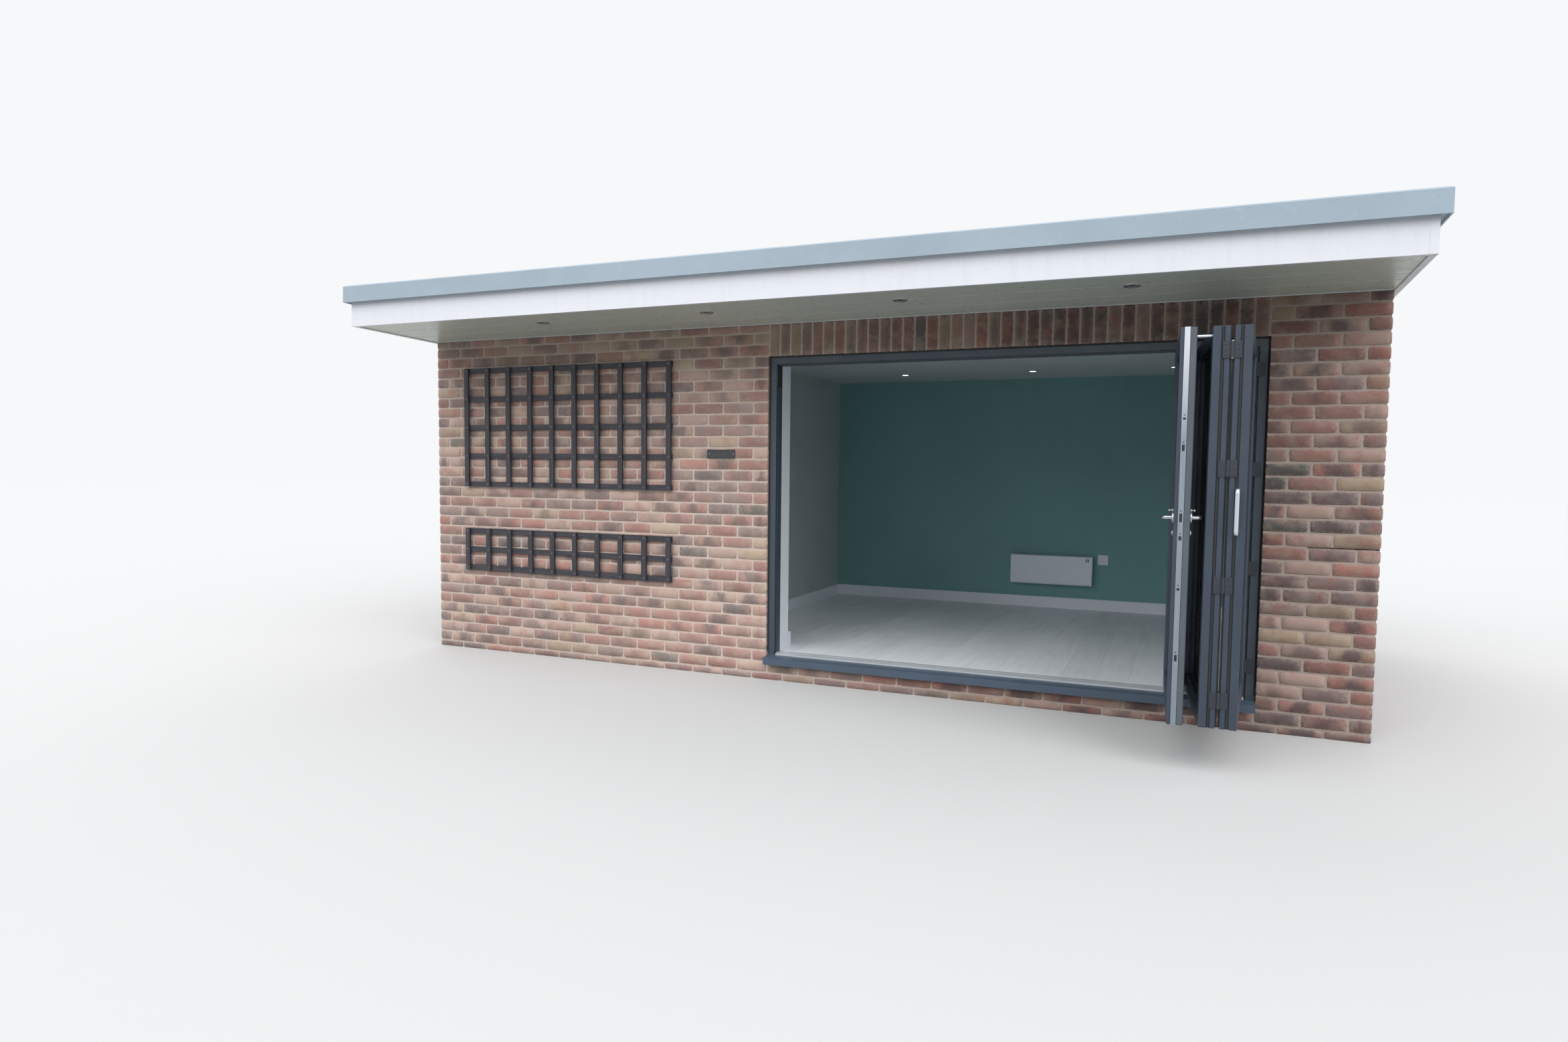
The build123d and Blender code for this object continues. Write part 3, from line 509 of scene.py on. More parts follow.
def strip_look():
    """Brushed strip on the leading leaf's edge, with a painted highlight that makes it brighter towards the
    top.
    """
    look = Look("brushed_strip", srgb(149, 159, 169), 0.34, 1.0)
    brush = look.noise(240.0, 3.0, (1.0, 1.0, 0.02))
    look.shade(look.ramp(brush, *USUAL, 0.9, 1.06))
    # Painted highlight: the strip turns pale towards the top.
    look.blend(look.ramp(look.axis("Z"), 1.55, 2.02), srgb(214, 219, 225))
    look.bump(brush, 0.08, 0.0003)
    return look


def deck_look():
    """Plain roof boards, their grain along the front."""
    look = Look("deck_boards", srgb(178, 142, 100), 0.8)
    grain = look.noise(60.0, 6.0, (0.08, 1.0, 1.0))
    look.blend(look.ramp(grain, 0.42, 0.66), srgb(140, 104, 70))
    look.mottle(5.0, 3.0, 0.9, 1.08)
    look.bump(grain, 0.25, 0.001)
    return look


def trellis_look():
    """Dark stained laths: grain along the rails, which lie on the wall, and up the uprights in front."""
    look = Look("dark_laths", srgb(50, 50, 58), 0.62)
    along = look.noise(70.0, 5.0, (0.07, 1.0, 1.0))
    up = look.noise(70.0, 5.0, (1.0, 1.0, 0.07))
    rail_front = float(CORNER[1]) - (LATH_THICKNESS + 0.1) * MM
    pick = look.node("ShaderNodeMix", Factor=look.math("LESS_THAN", look.axis("Y"), rail_front))
    look.put(along, pick.inputs[2])
    look.put(up, pick.inputs[3])
    grain = pick.outputs[0]
    look.blend(look.ramp(grain, 0.45, 0.7, 0.0, 0.6), srgb(78, 77, 83))
    look.bump(grain, 0.35, 0.0012)
    return look


def plank_look():
    """Pale grey boards, each in its own tone."""
    look = Look("pale_boards", None, 0.38)
    grain = look.noise(26.0, 6.0, (1.0, 0.08, 1.0))
    look.blend(look.ramp(grain, 0.46, 0.72, 0.0, 0.3), srgb(208, 210, 214))
    look.mottle(2.5, 3.0, 0.95, 1.04)
    look.feed("Roughness", look.ramp(grain, *USUAL, 0.32, 0.46))
    look.bump(grain, 0.08, 0.0006)
    return look


def slate_look():
    """Honed dark slate."""
    look = Look("dark_slate", srgb(58, 60, 64), 0.5)
    look.patches(55.0, 6.0, 0.45, 0.75, 0.6, srgb(84, 87, 92))
    look.pit(120.0, 6.0, 0.3, 0.0008)
    return look


def concrete_look():
    """Plain mottled concrete."""
    look = Look("plain_concrete", srgb(150, 148, 143), 0.9)
    look.patches(6.0, 6.0, 0.4, 0.7, 0.6, srgb(124, 121, 116))
    look.pit(140.0, 4.0, 0.3, 0.002)
    return look


def glass_look():
    """Clear glass with faint smudges."""
    look = Look("clear_glass", (0.93, 0.97, 0.96), 0.0)
    look.feed("Transmission Weight", 1.0)
    look.feed("IOR", 1.45)
    look.feed("Roughness", look.ramp(look.noise(3.0, 4.0), 0.55, 0.9, 0.0, 0.06))
    return look


def rubber_look():
    """Dull black rubber."""
    look = Look("black_rubber", srgb(34, 35, 37), 0.7)
    look.mottle(120.0, 2.0, 0.85, 1.15)
    return look


def lens_look(name, color, glow):
    """Frosted lens, glowing or off."""
    look = Look(name, color, 0.25)
    look.feed("Emission Color", (0.93, 0.98, 1.0, 1.0))
    look.feed("Emission Strength", glow)
    look.pit(500.0, 1.0, 0.2, 0.0008)
    return look


# Every look under the name that pieces call it by
LOOKS = {
    "brick": brick_look(),
    "mortar": mortar_look(),
    "plaster": paint_look("white_emulsion", srgb(240, 245, 251)),
    # Partly the walls' own pale grey, partly painted shade that darkens the paint.
    "wall": paint_look("pale_grey_and_painted_shade_emulsion", srgb(190, 198, 199)),
    # Painted shade: the white ceiling paint is darkened to a pale grey.
    "ceiling": paint_look("ceiling_painted_shade", srgb(200, 207, 208)),
    "teal": paint_look("teal_emulsion", srgb(129, 173, 174)),
    "concrete": concrete_look(),
    "planks": plank_look(),
    "skirting": paint_look("satin_white_wood", srgb(242, 246, 253), 0.4),
    "plastic": plastic_look("white_board", srgb(232, 234, 241)),
    # Painted shade: the soffit's white board is a darker, greener copy of the white board, for the shade
    # under the overhang and the greenish light bounced up to it.
    "soffit": plastic_look("soffit_board_painted_shade", srgb(213, 220, 210)),
    "deck": deck_look(),
    "roof": roof_look(),
    "trim": laminate_look("trim_laminate", srgb(163, 179, 193)),
    "anthracite": powder_look("anthracite_coat", srgb(60, 71, 83)),
    "leaf": powder_look("leaf_coat", srgb(53, 63, 78)),
    "hinge": powder_look("hinge_coat", srgb(44, 49, 58), 0.5),
    # Partly the coat's own blue grey, partly a painted reflection of the sky: the cill is lighter and bluer
    # than the frame's anthracite.
    "cill": powder_look("cill_coat_and_painted_reflection", srgb(76, 91, 108), 0.34),
    "threshold": metal_look("threshold_aluminium", srgb(205, 209, 214), 0.34, (0.02, 1.0, 1.0), 0.35),
    "steel": metal_look("brushed_steel", srgb(178, 182, 186), 0.3, (1.0, 0.05, 1.0)),
    "aluminium": metal_look("satin_aluminium", srgb(204, 210, 216), 0.3, (1.0, 1.0, 0.02)),
    "strip": strip_look(),
    "liner": powder_look("liner_coat", srgb(84, 91, 99)),
    # Painted shade: a dark colour standing in for the shade inside an open joint.
    "gap": paint_look("painted_joint_shade", srgb(66, 50, 46), 0.95),
    "laths": trellis_look(),
    "slate": slate_look(),
    "glass": glass_look(),
    "rubber": rubber_look(),
    "heater": plastic_look("heater_enamel", srgb(236, 245, 254), 0.3, 0.05),
    "lit_lens": lens_look("lit_lens", (0.9, 0.9, 0.88), 2.5),
    "dark_lens": lens_look("dark_lens", srgb(70, 70, 72), 0.0),
}

# The carried-over nodes that each look covers
COVERS = {
    "plaster": "lining_front lining_over_door",
    "wall": "lining_sides lining_back_store partition_wall",
    "teal": "lining_back_room", "concrete": "floor_slab", "ceiling": "ceiling",
    "skirting": "skirting_boards", "deck": "roof_deck", "roof": "roof_covering",
    "plastic": "fascia_front fascia_back fascia_sides wall_socket",
    "trim": "trim_front trim_back trim_sides",
    "anthracite": "door_frame_head door_frame_jambs",
    "threshold": "door_threshold", "cill": "door_cill", "hinge": "door_hinges",
    "leaf": "leaf_frame_lead leaf_frame_middle leaf_frame_jamb",
    "aluminium": "door_catch pull_handle", "steel": "lever_handles recessed_lights",
    "laths": "trellis_upper trellis_lower",
    "strip": "lock_faceplate", "slate": "name_plate", "heater": "wall_heater",
}


def dress_nodes():
    """Give every carried-over solid its material."""
    for key, names in COVERS.items():
        for name in names.split():
            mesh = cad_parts[name].data
            mesh.materials.clear()
            mesh.materials.append(LOOKS[key].material)


def on_roof(x, y, z):
    """A point made on a level soffit plane, tilted onto the falling one."""
    c, s = cos(FALL_ANGLE), sin(FALL_ANGLE)
    return x, y * c + z * s, SOFFIT_HEIGHT - y * s + z * c


def under_soffit(y):
    """Height of the soffit over a depth."""
    return SOFFIT_HEIGHT - y * ROOF_FALL


def on_leaf(leaf):
    """Moves points made for a leaf, thickness on X and running along -Y, to where it stands folded."""
    x0, y0, degrees = LEAVES[leaf]
    c, s = cos(radians(degrees)), sin(radians(degrees))

    def move(x, y, z):
        return x0 + x * c - y * s, y0 + x * s + y * c, z

    return move


# Brick tones with how often each comes
BRICK_TONES = {
    srgb(182, 139, 129): 20, srgb(206, 175, 163): 20, srgb(168, 124, 116): 16, srgb(196, 173, 150): 10,
    srgb(158, 135, 132): 16, srgb(194, 137, 126): 9, srgb(138, 122, 121): 7, srgb(116, 114, 110): 2,
}


def brick_tone(key):
    """The colour of one brick and the strength of its kiss mark, the same each time for the same key."""
    draw = random.Random(key)
    tone = draw.choices(list(BRICK_TONES), BRICK_TONES.values())[0]
    light = draw.uniform(0.84, 1.12)
    kiss = draw.choice((0.0, 0.0, 0.3, 0.6, 0.85))
    return tuple(c * light for c in tone), kiss


class Brickwork:
    """Bricks and mortar of one wall, with the tone and place of every brick's points."""

    def __init__(self, seed, depth=1.0):
        self.shape = Shape()
        self.depth = depth
        self.tints = []
        self.places = []
        self.noise = np.random.default_rng(seed)

    def brick(self, plane, s0, s1, z0, tops, back, key):
        """One tumbled brick from s0 to s1 along a wall plane; tops are the heights of its upper corners."""
        origin, along, out = plane
        length = s1 - s0
        nu = max(2, round(length / CELL[0]))
        nv = max(2, round((tops[0] - z0) / CELL[1]))
        grid = [(i / nu, j / nv) for j in range(nv + 1) for i in range(nu + 1)]
        rim = [(i / nu, 0.0) for i in range(nu)] + [(1.0, j / nv) for j in range(nv)]
        rim += [(1.0 - i / nu, 1.0) for i in range(nu)] + [(0.0, 1.0 - j / nv) for j in range(nv)]
        face = self.laid(grid, length, z0, tops, FACE_INSET, FACE_WANDER)
        edge = self.laid(rim, length, z0, tops, EDGE_INSET, EDGE_WANDER)
        rear = self.laid(rim, length, z0, tops, BACK_INSET, 0.0)
        face[:, 2] = self.noise.uniform(-FACE_DENT, 0.0, len(grid))
        edge[:, 2] = -EDGE_DEPTH - self.noise.uniform(0.0, EDGE_DENT, len(rim))
        rear[:, 2] = -back
        flat = np.vstack([face, edge, rear])
        flat[:, 1] = np.maximum(flat[:, 1], GROUND_GAP)
        run, z, depth = flat.T
        x, y = (origin[i] + along[i] * (s0 + run) + out[i] * depth for i in (0, 1))
        points = list(zip(x, y, z))
        faces = self.grid_faces(nu, nv) + self.rim_faces(nu, nv, len(grid), len(rim))
        self.shape.add(points, faces)
        tint, kiss = brick_tone(key)
        # depth darkens each brick's tone; for the soldier course it is painted shade.
        self.tints.extend([[c * self.depth for c in tint]] * len(points))
        self.places.extend([(2 * u - 1, 2 * v - 1, kiss) for u, v in grid + rim + rim])

    def laid(self, spots, length, z0, tops, inset, wander):
        """Points (s, z, 0) of a face drawn in from its edges, a little more so at the corners."""
        made = []
        for u, v in spots:
            at_corner = u in (0.0, 1.0) and v in (0.0, 1.0)
            margin = inset + (WORN_CORNER if at_corner else 0.0)
            s = margin + (length - 2 * margin) * u
            height = tops[0] + (tops[1] - tops[0]) * u - z0
            z = z0 + margin + (height - 2 * margin) * v
            made.append((s + self.noise.normal(0, wander), z + self.noise.normal(0, wander), 0.0))
        return np.array(made)

    @staticmethod
    def grid_faces(nu, nv):
        """The cells of a brick's face."""
        w = nu + 1
        return [
            (j * w + i, j * w + i + 1, (j + 1) * w + i + 1, (j + 1) * w + i)
            for j in range(nv) for i in range(nu)
        ]

    @staticmethod
    def rim_faces(nu, nv, grid_size, rim_size):
        """Bands from the back ring to the edge ring and from there to the face."""
        w = nu + 1
        inner = [*range(nu)] + [j * w + nu for j in range(nv)]
        inner += [nv * w + nu - i for i in range(nu)] + [(nv - j) * w for j in range(nv)]
        edge = range(grid_size, grid_size + rim_size)
        back = range(grid_size + rim_size, grid_size + 2 * rim_size)
        faces = []
        for i in range(rim_size):
            j = (i + 1) % rim_size
            faces.append((edge[i], edge[j], inner[j], inner[i]))
            faces.append((back[i], back[j], edge[j], edge[i]))
        return faces

    def mortar(self, x0, x1, y0, y1, z0, z1=None):
        """The mass behind the joints, its top along the falling soffit if no height is given."""
        corners = ((x0, y0), (x1, y0), (x1, y1), (x0, y1))
        points = [(x, y, z0) for x, y in corners]
        points += [(x, y, z1 or under_soffit(y) - CUT_GAP) for x, y in corners]
        self.shape.add(points, BOX_SIDES, 1)
        self.tints.extend([(0.5, 0.45, 0.4)] * 8)
        self.places.extend([(0.0, 0.0, 0.0)] * 8)

    def finish(self, name, node):
        """Make the piece, with its bricks shaded smooth and its mortar flat."""
        obj = make_piece(name, self.shape, "brick mortar", node)
        point_layer(obj, "tint", "FLOAT_COLOR", "color", [(*tint, 1.0) for tint in self.tints])
        point_layer(obj, "place", "FLOAT_VECTOR", "vector", self.places)
        obj.data.polygons.foreach_set("use_smooth", [kind == 0 for kind in self.shape.kinds])


# The four faces of the building: origin, direction along, direction out, length, corner numbers
FACES = {
    "front": ((0.0, 0.0), (1, 0), (0, -1), WALL_LENGTH, (0, 1)),
    "right": ((WALL_LENGTH, 0.0), (0, 1), (1, 0), WALL_DEPTH, (1, 2)),
    "back": ((WALL_LENGTH, WALL_DEPTH), (-1, 0), (0, 1), WALL_LENGTH, (2, 3)),
    "left": ((0.0, WALL_DEPTH), (0, -1), (-1, 0), WALL_DEPTH, (3, 0)),
}


def stretcher_run(length, headers_out):
    """Brick spans along a run, with half bricks at both ends or none."""
    spans = [(0.0, HEADER)] if headers_out else []
    s = HEADER + JOINT if headers_out else 0.0
    while s + BRICK <= length + TOLERANCE:
        spans.append((s, s + BRICK))
        s += BRICK + JOINT
    if s + HEADER <= length + TOLERANCE:
        spans.append((s, s + HEADER))
    return spans


def course_heights():
    """Number and lower and upper height of each course, the lowest cut off by the ground."""
    for k in range(-1, COURSES):
        low = FIRST_COURSE + COURSE * k
        yield k, max(low, 0.0), low + BRICK_HEIGHT


def lay(work, face, k, spans, z0, z1, back=BRICK_RETURN, ends=(False, False)):
    """Lay one course's bricks on a face; ends say at which end the bricks turn a free corner."""
    origin, along, out, length, corners = FACES[face]
    for i, (s0, s1) in enumerate(spans):
        ys = (origin[1] + along[1] * s for s in (s0, s1))
        tops = [min(z1, under_soffit(y) - SOFFIT_GAP) for y in ys]
        if min(tops) - z0 < LEAST_BRICK:
            continue
        key = f"{face} {k} {s0:.0f}"
        if s0 < TOLERANCE:
            key = f"corner {corners[0]} {k}"
        if s1 > length - TOLERANCE:
            key = f"corner {corners[1]} {k}"
        free = (ends[0] and i == 0) or (ends[1] and i == len(spans) - 1)
        work.brick((origin, along, out), s0, s1, z0, tops, CORNER_RETURN if free else back, key)


def front_spans(k):
    """Bricks of a front course, split into left of, under and right of the doorway."""
    even = k % 2 == 0
    if k < 1:
        whole = stretcher_run(WALL_LENGTH, even)
        left = [s for s in whole if sum(s) / 2 < OPENING_LEFT]
        right = [s for s in whole if sum(s) / 2 > OPENING_RIGHT]
        under = [s for s in whole if s not in left and s not in right]
        return left, under, right
    left = stretcher_run(OPENING_LEFT, even)
    right = stretcher_run(WALL_LENGTH - OPENING_RIGHT, even)
    right = [(WALL_LENGTH - b, WALL_LENGTH - a) for a, b in right[::-1]]
    under = stretcher_run(OPENING_RIGHT - OPENING_LEFT - JOINT, False)
    under = [(a + OPENING_LEFT + JOINT, b + OPENING_LEFT + JOINT) for a, b in under]
    return left, under, right


def front_brickwork():
    """Piers, the courses under the doorway and the soldier course over it."""
    # The soldier course's tone carries painted shade.
    left, under, right, over = Brickwork(11), Brickwork(12), Brickwork(13), Brickwork(14, SOLDIER_PAINTED_SHADE)
    for k, z0, z1 in course_heights():
        spans = front_spans(k)
        turned = z0 >= CILL_COURSE_TOP
        lay(left, "front", k, spans[0], z0, z1, ends=(False, turned))
        lay(right, "front", k, spans[2], z0, z1, ends=(turned, False))
        if z0 < CILL_COURSE_TOP:
            lay(under, "front", k, spans[1], z0, min(z1, CILL_COURSE_TOP - CUT_GAP))
    starts = [OPENING_LEFT + JOINT + COURSE * i for i in range(SOLDIERS)]
    soldiers = [(start, start + BRICK_HEIGHT) for start in starts]
    lay(over, "front", 99, soldiers, OPENING_HEAD, SOFFIT_HEIGHT, back=CORNER_RETURN)
    inset = MORTAR_DEPTH
    left_end, right_end = OPENING_LEFT - END_DEPTH, OPENING_RIGHT + END_DEPTH
    left.mortar(inset, left_end, inset, WALL_SKIN, 0.0)
    right.mortar(right_end, WALL_LENGTH - inset, inset, WALL_SKIN, 0.0)
    under.mortar(left_end, right_end, inset, WALL_SKIN, 0.0, CILL_COURSE_TOP)
    over.mortar(left_end, right_end, inset, WALL_SKIN, OPENING_HEAD + END_DEPTH)
    left.finish("front_left_brickwork", "front_wall_left")
    right.finish("front_right_brickwork", "front_wall_right")
    under.finish("front_cill_brickwork", "front_wall_under_door")
    over.finish("front_soldier_brickwork", "front_wall_over_door")


def other_brickwork():
    """The two sides and the back."""
    inset = MORTAR_DEPTH
    inner = WALL_DEPTH - WALL_SKIN
    masses = {
        "left": (inset, WALL_SKIN, WALL_SKIN, inner),
        "right": (WALL_LENGTH - WALL_SKIN, WALL_LENGTH - inset, WALL_SKIN, inner),
        "back": (inset, WALL_LENGTH - inset, inner, WALL_DEPTH - inset),
    }
    for seed, (face, mass) in enumerate(masses.items()):
        work = Brickwork(21 + seed)
        length = FACES[face][3]
        for k, z0, z1 in course_heights():
            headers_out = (k % 2 == 0) == (face == "back")
            lay(work, face, k, stretcher_run(length, headers_out), z0, z1)
        work.mortar(*mass, 0.0)
        work.finish(f"{face}_brickwork", f"{face}_wall")


def open_joint_painted_shade():
    """Painted shade: a dark strip over a bed joint of the right pier, standing in for the shade of a joint
    that has lost its pointing.
    """
    course, x, end = 13, 5955.0, WALL_LENGTH - 6.0
    z = FIRST_COURSE + COURSE * course - JOINT
    shape = Shape()
    draw = random.Random(3)
    while x < end - 2.0:
        run = min(draw.uniform(18.0, 46.0), end - x)
        low, high = draw.uniform(0.5, 2.5), draw.uniform(7.0, 9.5)
        shape.box(x, x + run, MORTAR_DEPTH - 0.6, MORTAR_DEPTH + 3.0, z + low, z + high)
        x += run
    make_piece("painted_shade_bed_joint", shape, "gap")


def floor_planks():
    """Pale boards laid from the doorway to the back of the room."""
    board, run, gap = 192.0, 1285.0, 0.8
    draw = random.Random(5)
    shape = Shape()
    tints = []
    under = FLOOR_TOP - 1.5
    shape.box(ROOM_LEFT, ROOM_RIGHT, ROOM_FRONT, ROOM_BACK, CILL_COURSE_TOP, under)
    shape.box(*REVEAL, WALL_SKIN, ROOM_FRONT, CILL_COURSE_TOP, under)
    shape.box(WALL_THICKNESS, ROOM_LEFT - PARTITION, ROOM_FRONT, ROOM_BACK, CILL_COURSE_TOP, FLOOR_TOP)
    tints.extend([srgb(120, 118, 114)] * 24)
    edges = sorted({ROOM_RIGHT, *REVEAL, *np.arange(ROOM_LEFT, ROOM_RIGHT, board).tolist()})
    for row, (x0, x1) in enumerate(zip(edges, edges[1:])):
        in_doorway = x0 >= REVEAL[0] and x1 <= REVEAL[1]
        y = WALL_SKIN if in_doorway else ROOM_FRONT
        end = y + run * ((row * 0.37) % 1.0 + 0.15)
        while y < ROOM_BACK:
            y1 = min(end, ROOM_BACK)
            plank(shape, x0, x1 - gap, y, y1 - gap)
            tone = draw.uniform(0.92, 1.02)
            tints.extend([tuple(c * tone for c in srgb(246, 249, 254))] * 12)
            y, end = y1, y1 + run
    obj = make_piece("floor_planks", shape, "planks", "floor_finish")
    point_layer(obj, "tint", "FLOAT_COLOR", "color", [(*tint, 1.0) for tint in tints])


def plank(shape, x0, x1, y0, y1):
    """One board with its long edges eased."""
    points = []
    for z, inset in ((FLOOR_TOP - 1.6, 0.0), (FLOOR_TOP - 0.8, 0.0), (FLOOR_TOP, 1.0)):
        points += [(x0 + inset, y0 + inset, z), (x1 - inset, y0 + inset, z),
                   (x1 - inset, y1 - inset, z), (x0 + inset, y1 - inset, z)]
    faces = [(8, 9, 10, 11)]
    for base in (0, 4):
        faces += [(base + i, base + (i + 1) % 4, base + 4 + (i + 1) % 4, base + 4 + i) for i in range(4)]
    shape.add(points, faces)


def soffit_boards():
    """Three boards along the overhang with grooves between them, and an edge strip at the wall."""
    boards, groove, depth, overlap = 3, 5.0, 3.0, 0.2
    width = OVERHANG / boards
    shape = Shape(on_roof)
    shape.box(0.0, WALL_LENGTH, -OVERHANG, 0.0, depth, SOFFIT_BOARD)
    for i in range(boards):
        y0 = -OVERHANG + i * width
        y1 = y0 + width
        shape.box(0.0, WALL_LENGTH, y0 + groove / 2, y1 - groove / 2, 0.0, depth + overlap)
    make_piece("soffit_boards", shape, "soffit", "soffit_board", edge=1.2)
    wide, drop = 14.0, 3.0
    strip = Shape(on_roof)
    strip.box(0.0, WALL_LENGTH, -wide, 0.0, -drop, overlap)
    make_piece("soffit_wall_strip", strip, "plastic", edge=0.8)


def fascia_corners():
    """Thin angle strips over the corners of the fascia."""
    skin, leg, low, high = 1.2, 34.0, -5.0, 156.0
    front = -OVERHANG - FASCIA_THICKNESS
    back = WALL_DEPTH / cos(FALL_ANGLE) + FASCIA_THICKNESS
    shape = Shape(on_roof)
    for x, side in ((-FASCIA_THICKNESS, 1), (WALL_LENGTH + FASCIA_THICKNESS, -1)):
        xs = sorted((x - side * skin, x + side * leg))
        edge = sorted((x - side * skin, x))
        shape.box(*xs, front - skin, front, low, high)
        shape.box(*edge, front, front + leg, low, high)
        shape.box(*xs, back, back + skin, low + 5.0, high)
        shape.box(*edge, back - leg, back, low + 5.0, high)
    make_piece("fascia_corner_strips", shape, "plastic")


def frame_sealant():
    """Bead of sealant where the frame meets the brick."""
    bead, low, high = 8.0, 190.0, OPENING_HEAD
    y, y_out = FRAME_FRONT, FRAME_FRONT - bead
    shape = Shape()
    for x, side in ((OPENING_LEFT, 1), (OPENING_RIGHT, -1)):
        outline = [(x, y, low), (x + side * bead, y, low), (x, y_out, low)]
        shape.prism(outline[::side], (0, 0, low), (0, 0, high))
    x = OPENING_LEFT
    shape.prism([(x, y, high), (x, y_out, high), (x, y, high - bead)], (x, 0, 0), (OPENING_RIGHT, 0, 0))
    make_piece("frame_sealant", shape, "rubber")


def dark_jamb_block():
    """Black block at the top of the left jamb, wrapped round its step."""
    face, low, high = OPENING_LEFT + FRAME_FACE, 1945.0, 2083.0
    front, step, back = 29.0, 48.5, 98.0
    shape = Shape()
    shape.box(face - 9.0, face + 1.0, front, step, low, high)
    shape.box(face - 1.0, face + 2.5, step, back, low, high)
    make_piece("dark_jamb_top_block", shape, "rubber", edge=1.0)


def running_track():
    """Rail in the threshold's groove that the rollers run on."""
    x0, x1 = OPENING_LEFT + FRAME_FACE, OPENING_RIGHT - FRAME_FACE
    half, low, high = 4.0, 169.5, 180.0
    shape = Shape()
    shape.box(x0, x1, TRACK_MIDDLE - half, TRACK_MIDDLE + half, low, high)
    make_piece("running_track", shape, "threshold", edge=1.5)


def leaf_glazing():
    """Two panes in each leaf with a bar between them and a gasket round each face."""
    inner, outer, bead, gasket = 10.0, 14.0, 3.0, 5.0
    y = (SIGHT_Y[0] - GLASS_REBATE, SIGHT_Y[1] + GLASS_REBATE)
    z = (SIGHT_Z[0] - GLASS_REBATE, SIGHT_Z[1] + GLASS_REBATE)
    panes, bars, gaskets = Shape(), Shape(), Shape()
    for leaf in LEAVES:
        panes.move = bars.move = gaskets.move = on_leaf(leaf)
        bars.ring(0.1 - inner, inner - 0.1, y, z, GLASS_REBATE + gasket)
        for side in (-1, 1):
            panes.box(*sorted((side * inner, side * outer)), *y, *z)
            gaskets.ring(*sorted((side * outer, side * (outer + bead))), SIGHT_Y, SIGHT_Z, gasket)
    make_piece("glass_panes", panes, "glass", "leaf_glass")
    make_piece("pane_spacer_bars", bars, "anthracite")
    make_piece("glazing_gaskets", gaskets, "rubber")


def hinge_screws():
    """Coated screws in the hinge plates, and bright ends on the pin of the top front hinge."""
    front, back = -LEAF_WIDTH - HINGE_PLATE, HINGE_PLATE
    across, pitch, pin, end = 18.0, 24.0, -45.0, 34.0
    shape = Shape()
    for leaf, side, y in (("jamb", -1, front), ("middle", 1, front),
                          ("middle", -1, back), ("lead", 1, back), ("jamb", 1, back)):
        shape.move = on_leaf(leaf)
        out = (0, copysign(1, y), 0)
        for z in HINGE_HEIGHTS:
            for step in (-pitch, 0.0, pitch):
                shape.lathe((side * across, y, z + step), out, SCREW, 10)
    make_piece("hinge_screws", shape, "hinge", smooth=True)
    bright = Shape(on_leaf("jamb"))
    for side in (-1, 1):
        bright.lathe((pin, front, HINGE_HEIGHTS[-1] + side * end), (0, 0, side), HINGE_CAP)
    make_piece("top_hinge_caps", bright, "steel", smooth=True)


def leaf_seals():
    """Black seals in the edge grooves and across the gap where two leaves meet."""
    low, high = LEAF_BOTTOM + 4.0, LEAF_TOP - 4.0
    front = -LEAF_WIDTH
    shape = Shape()
    for leaves, near, far, y0, y1 in (
            (("middle", "jamb"), 1.0, 11.0, front + 1.5, front + 8.0),
            (("middle", "jamb"), LEAF_HALF, LEAF_HALF + 8.5, front + 12.0, front + 24.0),
            (("lead", "middle"), LEAF_HALF, LEAF_HALF + 17.0, -30.0, -16.0)):
        for leaf, side in zip(leaves, (1, -1)):
            shape.move = on_leaf(leaf)
            shape.box(*sorted((side * near, side * far)), y0, y1, low, high)
    make_piece("leaf_seals", shape, "rubber", edge=1.5)


def handle_details():
    """Thumb turns, latch slots down the bright edge strip and the plain strip beside it."""
    turns = Shape(on_leaf("lead"))
    front, setback, rise, drop = -LEAF_WIDTH, 35.0, 34.0, 72.0
    for side in (-1, 1):
        for profile, z in ((THUMB_TURN, rise), (LOCK_ROSE, -drop), (LOCK_CORE, -drop)):
            middle = (side * LEAF_HALF, front + setback, HANDLE_HEIGHT + z)
            turns.lathe(middle, (side, 0, 0), profile)
    make_piece("lock_thumb_turns", turns, "steel", smooth=True)
    slots = Shape(on_leaf("lead"))
    edge, wide, gap = front - LOCK_PLATE, 12.0, 12.0
    for z, tall in LOCK_SLOTS:
        slots.box(-wide, 0.0, edge - 0.5, edge + 1.0, z - tall / 2, z + tall / 2)
        slots.lathe((-wide / 2, edge, z + tall / 2 + gap), (0, -1, 0), LOCK_SCREW, 10)
    make_piece("lock_slots", slots, "rubber")
    liner = Shape(on_leaf("lead"))
    liner.box(8.0, 33.0, front - 1.6, front + 2.0, LEAF_BOTTOM + 3.0, LEAF_TOP - 3.0)
    make_piece("leaf_edge_liner", liner, "liner", edge=1.0)


def trellis_nails():
    """A nail head at every crossing of the trellis."""
    left, face = TRELLIS_LEFT + LATH_WIDTH / 2, -2 * LATH_THICKNESS
    shape = Shape()
    for bottom, height, rows in TRELLIS_PANELS:
        for i in range(TRELLIS_COLUMNS + 1):
            x = left + i * (TRELLIS_LENGTH - LATH_WIDTH) / TRELLIS_COLUMNS
            for j in range(rows + 1):
                z = bottom + LATH_WIDTH / 2 + j * (height - LATH_WIDTH) / rows
                shape.lathe((x, face, z), (0, -1, 0), NAIL, 8)
    make_piece("trellis_nails", shape, "steel", smooth=True)


def plate_screws():
    """Screws at the two ends of the name plate."""
    inset, face = 12.0, -3.0
    shape = Shape()
    for x in (PLATE_X[0] + inset, PLATE_X[1] - inset):
        shape.lathe((x, face, PLATE_MIDDLE), (0, -1, 0), SCREW, 12)
    make_piece("plate_screws", shape, "steel", smooth=True)


